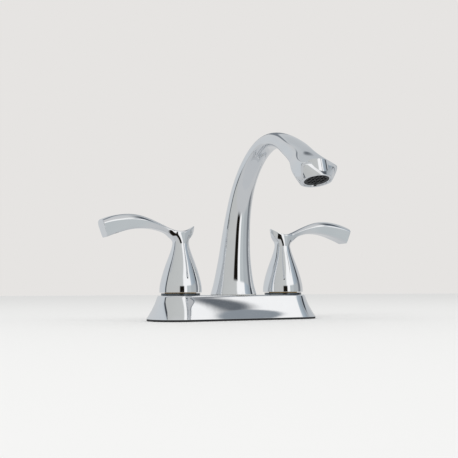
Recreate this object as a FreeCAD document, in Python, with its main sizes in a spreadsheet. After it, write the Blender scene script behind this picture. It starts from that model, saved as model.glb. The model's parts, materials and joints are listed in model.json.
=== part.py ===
import FreeCAD, Part
import math
import os
import Sketcher

# Centerset bathroom faucet, millimetres.
# Origin on the deck under the middle of the base, +X to the cold handle, -Y to the user, +Z up.
os.makedirs("parts", exist_ok=True)
doc = FreeCAD.newDocument("Faucet")
sheet = doc.addObject("Spreadsheet::Sheet", "Sizes")
vector = FreeCAD.Vector

# Driving dimensions, by group
sizes = {
    "Deck and base": {
        "handleCentres": 101.6,
        "gasketThick": 1.5,
        "plateRise": 20.0,
        "plateLength": 158.4,
        "plateWidth": 56.6,
        "plateCorner": 24.4,
        "plateTopCorner": 16.5,
        "plateInset": 9.3,
        "plateFlare": 0.8,
        "plateEdge": 2.0,
        "plateWall": 2.5,
        "deckThick": 25.0,
    },
    "Clearances": {
        "fitGap": 0.1,
        "runGap": 0.05,
        "sealGap": 0.02,
        "looseGap": 0.5,
        "faceGap": 0.3,
    },
    "Valve body": {
        "shankRadius": 11.0,
        "supplyRadius": 10.45,
        "supplyLength": 12.5,
        "shankBore": 6.5,
        "shankRun": 39.5,
        "shoulderRadius": 15.0,
        "valveNeck": 12.0,
        "valveRise": 4.5,
        "socketRadius": 9.0,
        "socketFloor": 6.0,
        "tubeRadius": 4.75,
        "tubeWall": 0.9,
        "tubeHeight": 11.0,
    },
    "Cartridge": {
        "sealThick": 2.0,
        "sealBore": 4.6,
        "discThick": 3.0,
        "discRadius": 7.4,
        "portRadius": 1.8,
        "portCircle": 4.4,
        "windowWide": 7.0,
        "windowTall": 5.0,
        "flangeRadius": 11.0,
        "flangeThick": 3.0,
        "collarRadius": 7.5,
        "collarRise": 5.0,
        "stemRadius": 4.0,
        "stemFoot": 2.5,
        "stemReach": 20.0,
        "stemFlat": 1.0,
        "ringThick": 1.6,
        "ringDepth": 1.3,
    },
    "Bonnet nut and skirt ring": {
        "skirtRingRise": 1.9,
        "skirtRingRadius": 16.9,
        "nutWall": 1.8,
        "nutLip": 2.5,
    },
    "Handle": {
        "skirtGap": 2.54,
        "bellRoom": 1.22,
        "skirtBand": 1.8,
        "shoulderRise": 8.8,
        "shoulderStep": 1.25,
        "waistRise": 14.6,
        "waistWide": 12.55,
        "throatRise": 9.7,
        "throatWide": 8.95,
        "neckRise": 9.1,
        "neckWide": 6.9,
        "crownRise": 5.0,
        "crownWide": 7.5,
        "bellWall": 2.3,
        "bossRadius": 7.0,
        "bossGap": 4.5,
        "leverTurn": 4.0,
        "screwRadius": 2.4,
        "screwRise": 12.0,
        "screwLength": 8.5,
        "screwKey": 2.5,
    },
    "Spout seat": {
        "glideThick": 0.5,
        "glideWidth": 5.0,
        "hubRadius": 13.5,
        "hubNeck": 12.0,
        "hubRise": 8.5,
        "hubSocket": 8.5,
        "hubFloor": 5.5,
        "spigotFoot": 17.0,
        "spigotTop": 47.0,
        "spigotFlange": 2.5,
        "spigotBore": 5.4,
        "clipHeight": 26.0,
        "clipThick": 1.5,
        "clipDepth": 1.2,
        "footRoof": 34.0,
        "waterRadius": 4.2,
    },
    "Aerator": {
        "noseWall": 1.4,
        "noseTall": 11.0,
        "noseWiden": 3.9,
        "noseDrawback": 4.6,
        "noseFull": 0.95,
        "lipAhead": 4.5,
        "lipRise": 10.7,
        "lipLean": 22.0,
        "housingRadius": 10.6,
        "housingWall": 0.8,
        "housingLip": 0.4,
        "housingDepth": 9.0,
        "housingInset": 0.6,
        "insertThick": 3.6,
        "insertCell": 2.2,
        "insertWeb": 0.7,
        "screenThick": 0.5,
        "washerThick": 1.5,
        "chamberDepth": 13.0,
    },
    "Mounting nuts and washers": {
        "washerRadius": 19.0,
        "mountWasherThick": 2.0,
        "mountNutHub": 15.0,
        "mountNutTall": 12.0,
        "wingSpan": 46.0,
        "wingThick": 4.0,
    },
}

# Spout stations, each a step forward and a rise from the one before it, then lean from straight up, half width,
# depth over and under the centre line, fullness over and under it. The chin lies in the outlet's plane, and its
# half width and depth under are how far it stands outside the round nose.
spoutStations = {
    "foot": (0.0, 0.0, 0.0, 20.6, 20.6, 20.6, 0.5523, 0.5523),
    "ankle": (0.2, 6.0, 1.5, 18.8, 18.8, 18.8, 0.5523, 0.5523),
    "shin": (0.8, 12.0, 4.0, 16.4, 16.4, 16.4, 0.5523, 0.5523),
    "knee": (1.6, 14.0, 6.5, 14.3, 14.3, 14.3, 0.5523, 0.5523),
    "thigh": (2.9, 18.0, 11.0, 12.6, 12.4, 12.4, 0.5523, 0.5523),
    "waist": (4.2, 17.0, 16.5, 11.3, 10.6, 10.6, 0.5523, 0.5523),
    "chest": (5.9, 16.0, 24.0, 10.4, 9.2, 9.6, 0.5523, 0.5523),
    "shoulder": (8.9, 15.0, 37.0, 9.8, 7.8, 8.4, 0.5523, 0.5523),
    "nape": (12.0, 12.5, 51.0, 9.5, 6.6, 7.4, 0.56, 0.5523),
    "back": (14.5, 9.3, 65.0, 9.4, 6.2, 6.5, 0.57, 0.5523),
    "crown": (15.5, 4.4, 82.0, 9.7, 6.4, 5.8, 0.58, 0.5523),
    "brow": (15.5, -1.0, 103.0, 10.2, 6.9, 5.4, 0.60, 0.56),
    "cheek": (14.5, -5.4, 117.0, 10.9, 7.4, 5.5, 0.64, 0.56),
    "jaw": (13.5, -8.3, 126.0, 12.4, 8.2, 5.2, 0.67, 0.56),
    "muzzle": (12.0, -9.5, 133.0, 13.0, 9.5, 5.8, 0.70, 0.51),
    "snout": (9.2, -9.4, 148.0, 16.2, 11.7, 6.5, 1.12, 0.48),
    "lip": (3.7, -3.9, 156.3, 15.1, 15.9, 9.1, 1.0, 0.52),
    "chin": (3.8, -3.8, 165.2, 0.6, 21.5, 0.2, 0.76, 0.5523),
}

# Lever stations: distance out from the handle's axis, top and bottom above the neck, half width at the
# crease and at the bottom, crown over the crease
leverStations = {
    "horn": (-12.2, 13.8, 10.4, 1.7, 1.0, 0.5),
    "tail": (-10.0, 12.5, 6.0, 3.9, 3.3, 0.7),
    "root": (-6.0, 10.5, 1.5, 6.1, 5.6, 0.8),
    "saddle": (0.0, 9.2, -0.5, 7.2, 6.9, 0.9),
    "fork": (6.0, 9.6, 0.5, 6.7, 6.2, 1.0),
    "arm": (11.0, 11.3, 5.2, 5.8, 4.8, 1.4),
    "wrist": (17.0, 14.1, 8.2, 5.4, 4.2, 2.0),
    "rise": (25.0, 17.6, 10.1, 5.7, 4.3, 3.0),
    "back": (35.0, 21.1, 10.6, 6.5, 4.9, 4.2),
    "crest": (46.0, 22.5, 9.3, 7.4, 5.7, 5.0),
    "palm": (58.0, 21.3, 5.6, 8.2, 6.4, 5.0),
    "finger": (66.0, 19.2, 2.6, 8.6, 6.8, 4.4),
    "tip": (73.0, 16.4, -1.0, 8.8, 7.0, 3.8),
}
leverEnd = {"leverReach": 72.2, "leverEndRise": 17.0, "leverEndLean": 17.0}

spoutFields = ("Step", "Rise", "Lean", "Wide", "Over", "Under", "FullOver", "FullUnder")
leverFields = ("Out", "Top", "Bottom", "Wide", "Narrow", "Crown")


def cap(word):
    return word[0].upper() + word[1:]


def fillSheet():
    groups = dict(sizes)
    groups["Lever end"] = leverEnd
    for title, fields, stations in (("Spout", spoutFields, spoutStations), ("Lever", leverFields, leverStations)):
        rows = {}
        for name, values in stations.items():
            for field, value in zip(fields, values):
                rows[title.lower() + cap(name) + field] = value
        groups[title + " stations"] = rows
    row = 1
    for title, rows in groups.items():
        sheet.set("A%d" % row, title)
        row += 1
        for alias, value in rows.items():
            sheet.set("A%d" % row, alias)
            sheet.set("B%d" % row, str(value))
            sheet.setAlias("B%d" % row, alias)
            row += 1
    doc.recompute()


fillSheet()


def bound(text):
    # an expression in the sheet's words, as FreeCAD wants it
    words = []
    word = ""
    for letter in text + " ":
        if letter.isalnum():
            word += letter
            continue
        if word and word[0].isalpha() and word not in ("tan", "sin", "cos", "sqrt", "deg"):
            word = "Sizes." + word
        words.append(word + letter)
        word = ""
    return "".join(words).strip()


def value(text):
    result = sheet.evalExpression(bound(text))
    return float(result.Value if hasattr(result, "Value") else result)


def bind(thing, **properties):
    for name, text in properties.items():
        thing.setExpression(name.replace("__", "."), bound(text))


# Heights that several pieces share
plateTop = "(gasketThick + plateRise)"
plateUnder = "(gasketThick + plateRise - plateWall)"
ringTop = "(gasketThick + plateRise + skirtRingRise)"
valveTop = "(gasketThick + plateRise + valveRise)"
sealTop = "(socketFloor + sealThick)"
fixedTop = "(socketFloor + sealThick + discThick)"
movingTop = "(socketFloor + sealThick + 2 * discThick)"
stemFootTop = "(socketFloor + sealThick + 2 * discThick + stemFoot)"
cavityTop = "(socketFloor + sealThick + 2 * discThick + stemFoot + fitGap)"
flangeTop = "(gasketThick + plateRise + valveRise + flangeThick)"
collarTop = "(gasketThick + plateRise + valveRise + flangeThick + collarRise)"
nutAcross = "(2 * (flangeRadius + nutWall))"
skirtRadius = "((flangeRadius + nutWall) / cos(30 deg) + bellRoom + bellWall)"
shoulderWide = "(%s - shoulderStep)" % skirtRadius
nutTop = "(gasketThick + plateRise + valveRise + flangeThick + fitGap + nutLip)"
bossLow = "(gasketThick + plateRise + valveRise + flangeThick + collarRise + bossGap)"
screwHeight = "(gasketThick + plateRise + valveRise + flangeThick + collarRise + screwRise)"
flatLow = "(%s - screwRadius - looseGap)" % screwHeight
stemTop = "(gasketThick + plateRise + valveRise + flangeThick + collarRise + stemReach)"
hubTop = "(gasketThick + plateRise + hubRise)"
skirtHeight = "(gasketThick + plateRise + skirtGap)"
bandTop = "(gasketThick + plateRise + skirtGap + skirtBand)"
shoulderHeight = "(%s + shoulderRise)" % bandTop
waistHeight = "(%s + shoulderRise + waistRise)" % bandTop
throatHeight = "(%s + shoulderRise + waistRise + throatRise)" % bandTop
neckHeight = "(%s + shoulderRise + waistRise + throatRise + neckRise)" % bandTop
glideTop = "(gasketThick + plateRise + glideThick)"
axisRight = "(handleCentres / 2)"
noseRadius = "(housingRadius + noseWall)"
housingBore = "(housingRadius - housingWall)"
outletReach = "(" + " + ".join("spout%sStep" % cap(name) for name in spoutStations) + ")"
outletHeight = "(" + " + ".join([glideTop] + ["spout%sRise" % cap(name) for name in spoutStations]) + ")"
outletTilt = "(180 - spoutChinLean)"


def originPlane(body, role):
    for plane in body.Origin.OriginFeatures:
        if plane.Role == role:
            return plane


def newBody(label):
    body = doc.addObject("PartDesign::Body", label)
    body.Label = label
    return body


def newSketch(body, role, name, lift=None):
    sketch = body.newObject("Sketcher::SketchObject", name)
    sketch.AttachmentSupport = [(originPlane(body, role), "")]
    sketch.MapMode = "FlatFace"
    if lift:
        bind(sketch, AttachmentOffset__Base__z=lift)
    return sketch


def pinPoint(sketch, index, corner, across, up):
    # both distances of one point from the sketch origin, bound to the sheet
    for kind, text in (("DistanceX", across), ("DistanceY", up)):
        amount = value(text)
        if amount < 0:
            rule = Sketcher.Constraint(kind, index, corner, -1, 1, -amount)
            text = "-1 * (" + text + ")"
        else:
            rule = Sketcher.Constraint(kind, -1, 1, index, corner, amount)
        number = sketch.addConstraint(rule)
        sketch.setExpression("Constraints[%d]" % number, bound(text))


def closedOutline(sketch, points):
    # straight-sided closed outline through points given as pairs of sheet expressions
    places = [vector(value(across), value(up), 0) for across, up in points]
    count = len(places)
    for i in range(count):
        sketch.addGeometry(Part.LineSegment(places[i], places[(i + 1) % count]))
    for i in range(count):
        sketch.addConstraint(Sketcher.Constraint("Coincident", i, 2, (i + 1) % count, 1))
    for i, (across, up) in enumerate(points):
        pinPoint(sketch, i, 1, across, up)


def circleAt(sketch, across, up, radius):
    place = vector(value(across), value(up), 0)
    index = sketch.addGeometry(Part.Circle(place, vector(0, 0, 1), value(radius)))
    pinPoint(sketch, index, 3, across, up)
    number = sketch.addConstraint(Sketcher.Constraint("Radius", index, value(radius)))
    sketch.setExpression("Constraints[%d]" % number, bound(radius))


def turned(label, profile, angle=None):
    # a piece turned about Z from its half section
    body = newBody(label)
    sketch = newSketch(body, "XZ_Plane", label + "Profile")
    closedOutline(sketch, profile)
    spin = body.newObject("PartDesign::Revolution", label + "Turn")
    spin.Profile = sketch
    spin.ReferenceAxis = (sketch, ["V_Axis"])
    spin.Angle = angle or 360.0
    sketch.Visibility = False
    return body


def ringProfile(inner, outer, low, high):
    return [(inner, low), (outer, low), (outer, high), (inner, high)]


def crossHole(body, role, name, across, up, radius, length, both=False):
    # a round hole square to an origin plane
    sketch = newSketch(body, role, name + "Sketch")
    circleAt(sketch, across, up, radius)
    cut = body.newObject("PartDesign::Pocket", name)
    cut.Profile = sketch
    cut.Midplane = both
    bind(cut, Length=length)
    return cut


def place(body, side=0, tilt=None):
    # pieces of a handle are drawn on Z and moved out to their handle axis
    if side:
        bind(body, Placement__Base__x="%d * handleCentres / 2" % side)


def fused(label, parts):
    whole = doc.addObject("Part::MultiFuse", label)
    whole.Shapes = parts
    whole.Label = label
    return whole


def cutFrom(label, base, tool):
    piece = doc.addObject("Part::Cut", label)
    piece.Base = base
    piece.Tool = tool
    piece.Label = label
    return piece


def cylinder(name, radius, height, low, x=None, y=None):
    thing = doc.addObject("Part::Cylinder", name)
    bind(thing, Radius=radius, Height=height, Placement__Base__z=low)
    if x:
        bind(thing, Placement__Base__x=x)
    if y:
        bind(thing, Placement__Base__y=y)
    return thing


def box(name, length, width, height, x, y, z):
    thing = doc.addObject("Part::Box", name)
    bind(thing, Length=length, Width=width, Height=height)
    bind(thing, Placement__Base__x=x, Placement__Base__y=y, Placement__Base__z=z)
    return thing


def freeForm(label, shape, side=0, turn=None):
    thing = doc.addObject("Part::Feature", label)
    thing.Shape = shape
    thing.Label = label
    if side:
        thing.Placement = FreeCAD.Placement(vector(side * value(axisRight), 0, 0), FreeCAD.Rotation())
    return thing


pieces = []


def keep(thing, label=None):
    pieces.append((label or thing.Label, thing))
    return thing


# Base plate: a cast shell, flared to the deck, with three holes in its top
def roundedRectangle(sketch, halfLong, halfWide, corner):
    long, wide, turn = value(halfLong), value(halfWide), value(corner)
    ends = [(long - turn, -wide), (long, turn - wide), (long, wide - turn), (long - turn, wide),
            (turn - long, wide), (-long, wide - turn), (-long, turn - wide), (turn - long, -wide)]
    centres = [(long - turn, turn - wide), (long - turn, wide - turn), (turn - long, wide - turn),
               (turn - long, turn - wide)]
    for i in range(4):
        start = math.radians(90 * i - 90)
        circle = Part.Circle(vector(*centres[i], 0), vector(0, 0, 1), turn)
        sketch.addGeometry(Part.ArcOfCircle(circle, start, start + math.pi / 2))
        sketch.addGeometry(Part.LineSegment(vector(*ends[2 * i + 1], 0), vector(*ends[(2 * i + 2) % 8], 0)))
    for i in range(4):
        sketch.addConstraint(Sketcher.Constraint("Tangent", 2 * i, 2, 2 * i + 1, 1))
        sketch.addConstraint(Sketcher.Constraint("Tangent", 2 * i + 1, 2, (2 * i + 2) % 8, 1))
    for i in range(1, 4):
        sketch.addConstraint(Sketcher.Constraint("Equal", 0, 2 * i))
    sketch.addConstraint(Sketcher.Constraint("Vertical", 1))
    sketch.addConstraint(Sketcher.Constraint("Horizontal", 3))
    rules = (("Radius", (0,), corner), ("DistanceX", (-1, 1, 1, 1), halfLong),
             ("DistanceY", (-1, 1, 3, 1), halfWide), ("DistanceX", (5, 1, -1, 1), halfLong),
             ("DistanceY", (7, 1, -1, 1), halfWide))
    for kind, where, text in rules:
        number = sketch.addConstraint(Sketcher.Constraint(kind, *where, value(text)))
        sketch.setExpression("Constraints[%d]" % number, bound(text))


def plateLoft(name, inset, low, high):
    # three outlines: foot, slightly hollowed middle, top
    middle = "(plateInset / 2 + plateFlare)"
    levels = (
        (low, "(%s)" % inset, "(plateCorner - %s)" % inset),
        ("((%s + %s) / 2)" % (low, high), "(%s + %s)" % (middle, inset),
         "((plateCorner + plateTopCorner) / 2 - %s)" % inset),
        (high, "(plateInset + %s)" % inset, "(plateTopCorner - %s)" % inset),
    )
    sketches = []
    for number, (lift, back, corner) in enumerate(levels):
        sketch = doc.addObject("Sketcher::SketchObject", "%sOutline%d" % (name, number))
        bind(sketch, Placement__Base__z=lift)
        roundedRectangle(sketch, "(plateLength / 2 - %s)" % back, "(plateWidth / 2 - %s)" % back, corner)
        sketches.append(sketch)
    loft = doc.addObject("Part::Loft", name)
    loft.Sections = sketches
    loft.Solid = True
    return loft


def basePlate():
    outer = plateLoft("PlateOuter", "0", "gasketThick", plateTop)
    hollow = plateLoft("PlateHollow", "plateWall", "gasketThick", plateUnder)
    doc.recompute()
    height = value(plateTop)
    rounding = doc.addObject("Part::Fillet", "PlateTopEdge")
    rounding.Base = outer
    rounding.Edges = [(i + 1, value("plateEdge"), value("plateEdge")) for i, edge in enumerate(outer.Shape.Edges)
                      if all(abs(v.Z - height) < 1e-3 for v in edge.Vertexes)]
    tools = [hollow]
    for name, across, radius in (("SpoutHole", "0", "(hubNeck + fitGap)"),
                                 ("HotHole", "-handleCentres / 2", "(valveNeck + fitGap)"),
                                 ("ColdHole", "handleCentres / 2", "(valveNeck + fitGap)")):
        tools.append(cylinder(name, radius, "(2 * plateRise)", "gasketThick", across))
    return cutFrom("base_plate", rounding, fused("PlateSpaces", tools))


def baseGasket():
    body = newBody("base_gasket")
    sketch = newSketch(body, "XY_Plane", "GasketOutline")
    roundedRectangle(sketch, "(plateLength / 2 - 0.4)", "(plateWidth / 2 - 0.4)", "(plateCorner - 0.4)")
    pad = body.newObject("PartDesign::Pad", "GasketSheet")
    pad.Profile = sketch
    bind(pad, Length="gasketThick")
    for name, across in (("HotShank", "-handleCentres / 2"), ("ColdShank", "handleCentres / 2")):
        crossHole(body, "XY_Plane", name, across, "0", "(shankRadius + looseGap)", "(4 * gasketThick)", True)
    return body


keep(basePlate())
keep(baseGasket())


# Spout hub: the fixed brass socket that the spout turns in, fed by the two cross tubes
def spoutHub():
    body = turned("spout_hub", [
        ("0", "gasketThick"), ("hubRadius", "gasketThick"), ("hubRadius", plateUnder),
        ("hubNeck", plateUnder), ("hubNeck", hubTop), ("hubSocket", hubTop),
        ("hubSocket", "(clipHeight + clipThick + fitGap)"),
        ("(hubSocket + clipDepth / 2 + fitGap)", "(clipHeight + clipThick + fitGap)"),
        ("(hubSocket + clipDepth / 2 + fitGap)", "(clipHeight - fitGap)"),
        ("hubSocket", "(clipHeight - fitGap)"), ("hubSocket", "hubFloor"), ("0", "hubFloor"),
    ])
    crossHole(body, "YZ_Plane", "TubeBore", "0", "tubeHeight", "(tubeRadius + sealGap)", "(4 * hubRadius)", True)
    return body


keep(spoutHub())


# One water path: valve body, cross tube, cartridge, nut and handle, for each side
def valveBody(label, side):
    body = turned(label, [
        ("shankBore", "(-shankRun - supplyLength)"), ("supplyRadius", "(-shankRun - supplyLength)"),
        ("supplyRadius", "-shankRun"), ("shankRadius", "-shankRun"), ("shankRadius", "gasketThick"),
        ("shoulderRadius", "gasketThick"), ("shoulderRadius", plateUnder), ("valveNeck", plateUnder),
        ("valveNeck", valveTop), ("socketRadius", valveTop), ("socketRadius", "socketFloor"),
        ("shankBore", "socketFloor"),
    ])
    sketch = newSketch(body, "YZ_Plane", label + "PortSketch")
    circleAt(sketch, "0", "tubeHeight", "(tubeRadius + sealGap)")
    port = body.newObject("PartDesign::Pocket", label + "Port")
    port.Profile = sketch
    port.Reversed = side < 0
    bind(port, Length="(2 * shoulderRadius)")
    place(body, side)
    return body


def crossTube(label, side):
    # lies along X from the valve body's socket to the hub's
    body = newBody(label)
    sketch = newSketch(body, "YZ_Plane", label + "Section", "%d * (hubSocket + looseGap)" % side)
    circleAt(sketch, "0", "tubeHeight", "tubeRadius")
    circleAt(sketch, "0", "tubeHeight", "(tubeRadius - tubeWall)")
    pad = body.newObject("PartDesign::Pad", label + "Length")
    pad.Profile = sketch
    pad.Reversed = side < 0
    bind(pad, Length="(handleCentres / 2 - socketRadius - hubSocket - 2 * looseGap)")
    return body


def seatSeal(label, side):
    body = turned(label, ringProfile("sealBore", "(socketRadius - fitGap)", "socketFloor", sealTop))
    place(body, side)
    return body


def ported(label, low, high, side):
    # a ceramic disc with two ports
    body = turned(label, ringProfile("0", "discRadius", low, high))
    for name, turn in (("Left", -1), ("Right", 1)):
        crossHole(body, "XY_Plane", label + name, "%d * portCircle" % turn, "0", "portRadius",
                  "(4 * discThick + 4 * %s)" % high, True)
    place(body, side)
    return body


def cartridgeBody(label, side):
    cavity = "(discRadius + runGap)"
    bore = "(stemRadius + runGap)"
    groove = "(stemRadius + ringDepth)"
    ringLow = "(%s + 1.5 * ringThick)" % cavityTop
    body = turned(label, [
        (cavity, sealTop), ("(socketRadius - fitGap)", sealTop), ("(socketRadius - fitGap)", valveTop),
        ("flangeRadius", valveTop), ("flangeRadius", flangeTop), ("collarRadius", flangeTop),
        ("collarRadius", collarTop), (bore, collarTop), (bore, "(%s + ringThick)" % ringLow),
        (groove, "(%s + ringThick)" % ringLow), (groove, ringLow), (bore, ringLow), (bore, cavityTop),
        (cavity, cavityTop),
    ])
    sketch = newSketch(body, "YZ_Plane", label + "WindowSketch")
    low = "(%s - fitGap)" % fixedTop
    high = "(%s - fitGap + windowTall)" % fixedTop
    closedOutline(sketch, ringProfile("(-windowWide / 2)", "(windowWide / 2)", low, high))
    window = body.newObject("PartDesign::Pocket", label + "Windows")
    window.Profile = sketch
    window.Midplane = True
    bind(window, Length="(4 * socketRadius)")
    place(body, side)
    return body


def stemRing(label, side):
    low = "(%s + 1.5 * ringThick)" % cavityTop
    body = turned(label, ringProfile("(stemRadius + sealGap)", "(stemRadius + ringDepth - sealGap)",
                                     "(%s + sealGap)" % low, "(%s + ringThick - sealGap)" % low))
    place(body, side)
    return body


def valveStem(label, side):
    # turned foot that drives the moving disc, with a flat at the top for the set screw
    body = turned(label, [
        ("0", movingTop), ("(discRadius - fitGap)", movingTop), ("(discRadius - fitGap)", stemFootTop),
        ("stemRadius", stemFootTop), ("stemRadius", stemTop), ("0", stemTop),
    ])
    sketch = newSketch(body, "XY_Plane", label + "FlatSketch", flatLow)
    closedOutline(sketch, [("(-2 * stemRadius)", "(stemRadius - stemFlat)"),
                           ("(2 * stemRadius)", "(stemRadius - stemFlat)"),
                           ("(2 * stemRadius)", "(2 * stemRadius)"), ("(-2 * stemRadius)", "(2 * stemRadius)")])
    flat = body.newObject("PartDesign::Pocket", label + "Flat")
    flat.Profile = sketch
    flat.Reversed = True
    bind(flat, Length="(%s - %s + looseGap)" % (stemTop, flatLow))
    place(body, side)
    return body


def bonnetNut(label, side):
    # hexagonal cap that clamps the cartridge and, through the skirt ring, the base plate
    body = newBody(label)
    sketch = newSketch(body, "XY_Plane", label + "Hexagon", ringTop)
    points = []
    for step in range(6):
        across = "(%s / 2 / cos(30 deg) * cos(%d deg))" % (nutAcross, 60 * step)
        up = "(%s / 2 / cos(30 deg) * sin(%d deg))" % (nutAcross, 60 * step)
        points.append((across, up))
    closedOutline(sketch, points)
    pad = body.newObject("PartDesign::Pad", label + "Block")
    pad.Profile = sketch
    bind(pad, Length="(%s - %s)" % (nutTop, ringTop))
    thread = newSketch(body, "XZ_Plane", label + "BoreSketch")
    closedOutline(thread, [
        ("0", "(%s - looseGap)" % ringTop), ("(valveNeck + fitGap)", "(%s - looseGap)" % ringTop),
        ("(valveNeck + fitGap)", "(%s + fitGap)" % valveTop), ("(flangeRadius + fitGap)", "(%s + fitGap)" % valveTop),
        ("(flangeRadius + fitGap)", "(%s + fitGap)" % flangeTop),
        ("(collarRadius + fitGap)", "(%s + fitGap)" % flangeTop),
        ("(collarRadius + fitGap)", "(%s + looseGap)" % nutTop), ("0", "(%s + looseGap)" % nutTop),
    ])
    bore = body.newObject("PartDesign::Groove", label + "Bore")
    bore.Profile = thread
    bore.ReferenceAxis = (thread, ["V_Axis"])
    bore.Angle = 360.0
    place(body, side)
    return body


def skirtRing(label, side):
    body = turned(label, ringProfile("(valveNeck + fitGap)", "skirtRingRadius", plateTop, ringTop))
    place(body, side)
    return body


def mountingWasher(label, side):
    body = turned(label, ringProfile("(shankRadius + looseGap)", "washerRadius",
                                     "(-deckThick - mountWasherThick)", "-deckThick"))
    place(body, side)
    return body


def mountingNut(label, side):
    # plastic hub with four wings to turn by hand
    top = "(-deckThick - mountWasherThick)"
    low = "(-deckThick - mountWasherThick - mountNutTall)"
    hub = cylinder(label + "Hub", "mountNutHub", "mountNutTall", low)
    along = box(label + "Wings", "wingSpan", "wingThick", "mountNutTall * 0.7", "-wingSpan / 2", "-wingThick / 2", low)
    across = box(label + "Arms", "wingThick", "wingSpan", "mountNutTall * 0.7", "-wingThick / 2", "-wingSpan / 2", low)
    whole = fused(label + "Block", [hub, along, across])
    bore = cylinder(label + "Thread", "(shankRadius + fitGap)", "(mountNutTall + 2)", "(%s - 1)" % low)
    nut = cutFrom(label, whole, bore)
    place(nut, side)
    return nut


# Handle casting: bell, neck, swept lever and horned tail in one piece
def leverSection(out, top, bottom, wide, narrow, crown):
    neck = value(neckHeight)
    crease = neck + top - crown
    foot = neck + bottom
    left = vector(out, -wide, crease)
    right = vector(out, wide, crease)
    footRight = vector(out, narrow, foot)
    footLeft = vector(out, -narrow, foot)
    # the flat dome's Bezier handles sit a third above its crown
    arc = Part.BezierCurve()
    arc.setPoles([left, vector(out, -0.62 * wide, crease + 1.33 * crown),
                  vector(out, 0.62 * wide, crease + 1.33 * crown), right])
    edges = [arc.toShape(), Part.makeLine(right, footRight), Part.makeLine(footRight, footLeft),
             Part.makeLine(footLeft, left)]
    return Part.Wire(edges)


def bellProfile(shrink=0.0):
    # the bell's outline from the top of the skirt band to inside the saddle
    stations = ((skirtRadius, bandTop), (shoulderWide, shoulderHeight), ("waistWide", waistHeight),
                ("throatWide", throatHeight), ("neckWide", neckHeight), ("crownWide", "(%s + crownRise)" % neckHeight))
    return [vector(value(radius) - shrink, 0, value(height)) for radius, height in stations]


def spun(points):
    face = Part.Face(Part.makePolygon(points + points[:1]))
    return face.revolve(vector(), vector(0, 0, 1), 360)


def handleBell():
    points = bellProfile()
    curve = Part.BSplineCurve()
    curve.interpolate(points, InitialTangent=vector(0, 0, 1), FinalTangent=vector(0.3, 0, 1))
    low = value(skirtHeight)
    foot = vector(points[0].x, 0, low)
    top = vector(0, 0, points[-1].z)
    middle = vector(0, 0, low)
    outline = Part.Wire([Part.makeLine(middle, foot), Part.makeLine(foot, points[0]), curve.toShape(),
                         Part.makeLine(points[-1], top), Part.makeLine(top, middle)])
    return Part.Face(outline).revolve(vector(), vector(0, 0, 1), 360)


def handleLever():
    # the end is cut by a leaning plane
    sections = [leverSection(*[value("lever" + cap(name) + field) for field in leverFields])
                for name in leverStations]
    lever = Part.makeLoft(sections, True, False)
    reach = value("leverReach")
    stock = Part.makeBox(reach, reach, 2 * reach, vector(0, -reach / 2, -reach))
    stock.rotate(vector(), vector(0, 1, 0), value("leverEndLean"))
    stock.translate(vector(reach, 0, value(neckHeight) + value("leverEndRise")))
    return lever.cut(stock)


def handleHollow():
    # open skirt, a boss for the stem with a flat in its socket, and the set screw's hole behind
    wall, boss, gap = value("bellWall"), value("bossRadius"), value("runGap")
    low, bossFoot = value(skirtHeight) - 1, value(bossLow)
    inner = bellProfile(wall)
    skirt = spun([vector(0, 0, low), vector(inner[0].x, 0, low), inner[0], inner[1],
                  vector(boss, 0, value(waistHeight) + wall), vector(boss, 0, bossFoot), vector(0, 0, bossFoot)])
    stem = value("stemRadius")
    socketTop = value(stemTop) + value("looseGap")
    socket = Part.makeCylinder(stem + gap, socketTop - bossFoot, vector(0, 0, bossFoot))
    flat = stem - value("stemFlat") + gap
    key = Part.makeBox(4 * stem, 2 * stem, socketTop, vector(-2 * stem, flat, value(flatLow) + value("looseGap")))
    screw = Part.makeCylinder(value("screwRadius") + gap, value(skirtRadius), vector(0, 0, value(screwHeight)),
                              vector(0, 1, 0))
    return skirt.multiFuse([socket.cut(key), screw])


def handleCasting():
    return handleBell().fuse(handleLever()).cut(handleHollow())


def setScrew(label, side):
    # socket set screw that bears on the stem's flat from behind
    middle = vector(0, value("stemRadius") - value("stemFlat"), value(screwHeight))
    back = vector(0, 1, 0)
    length, key = value("screwLength"), value("screwKey")
    screw = Part.makeCylinder(value("screwRadius"), length, middle, back)
    across = key / math.sqrt(3)
    corners = [vector(across * math.cos(math.radians(60 * i)), across * math.sin(math.radians(60 * i)), 0)
               for i in range(7)]
    socket = Part.Face(Part.makePolygon(corners)).extrude(vector(0, 0, key))
    socket.rotate(vector(), vector(1, 0, 0), -90)
    socket.translate(middle + back * (length - key))
    return screw.cut(socket)


casting = handleCasting()
for name, side in (("hot", -1), ("cold", 1)):
    keep(valveBody(name + "_valve_body", side))
    keep(crossTube(name + "_cross_tube", side))
    keep(seatSeal(name + "_seat_seal", side))
    keep(ported(name + "_fixed_disc", sealTop, fixedTop, side))
    keep(ported(name + "_moving_disc", fixedTop, movingTop, side))
    keep(cartridgeBody(name + "_cartridge_body", side))
    keep(stemRing(name + "_stem_o_ring", side))
    keep(valveStem(name + "_stem", side))
    keep(bonnetNut(name + "_bonnet_nut", side))
    keep(skirtRing(name + "_skirt_ring", side))
    keep(mountingWasher(name + "_mounting_washer", side))
    keep(mountingNut(name + "_mounting_nut", side))
    handle = casting.copy()
    if side < 0:
        handle = handle.mirror(vector(), vector(1, 0, 0))
    handle.rotate(vector(), vector(0, 0, 1), -side * value("leverTurn"))
    keep(freeForm(name + "_handle", handle, side))
    screw = setScrew(name + "_set_screw", side)
    screw.rotate(vector(), vector(0, 0, 1), -side * value("leverTurn"))
    keep(freeForm(name + "_set_screw", screw, side))


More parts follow.
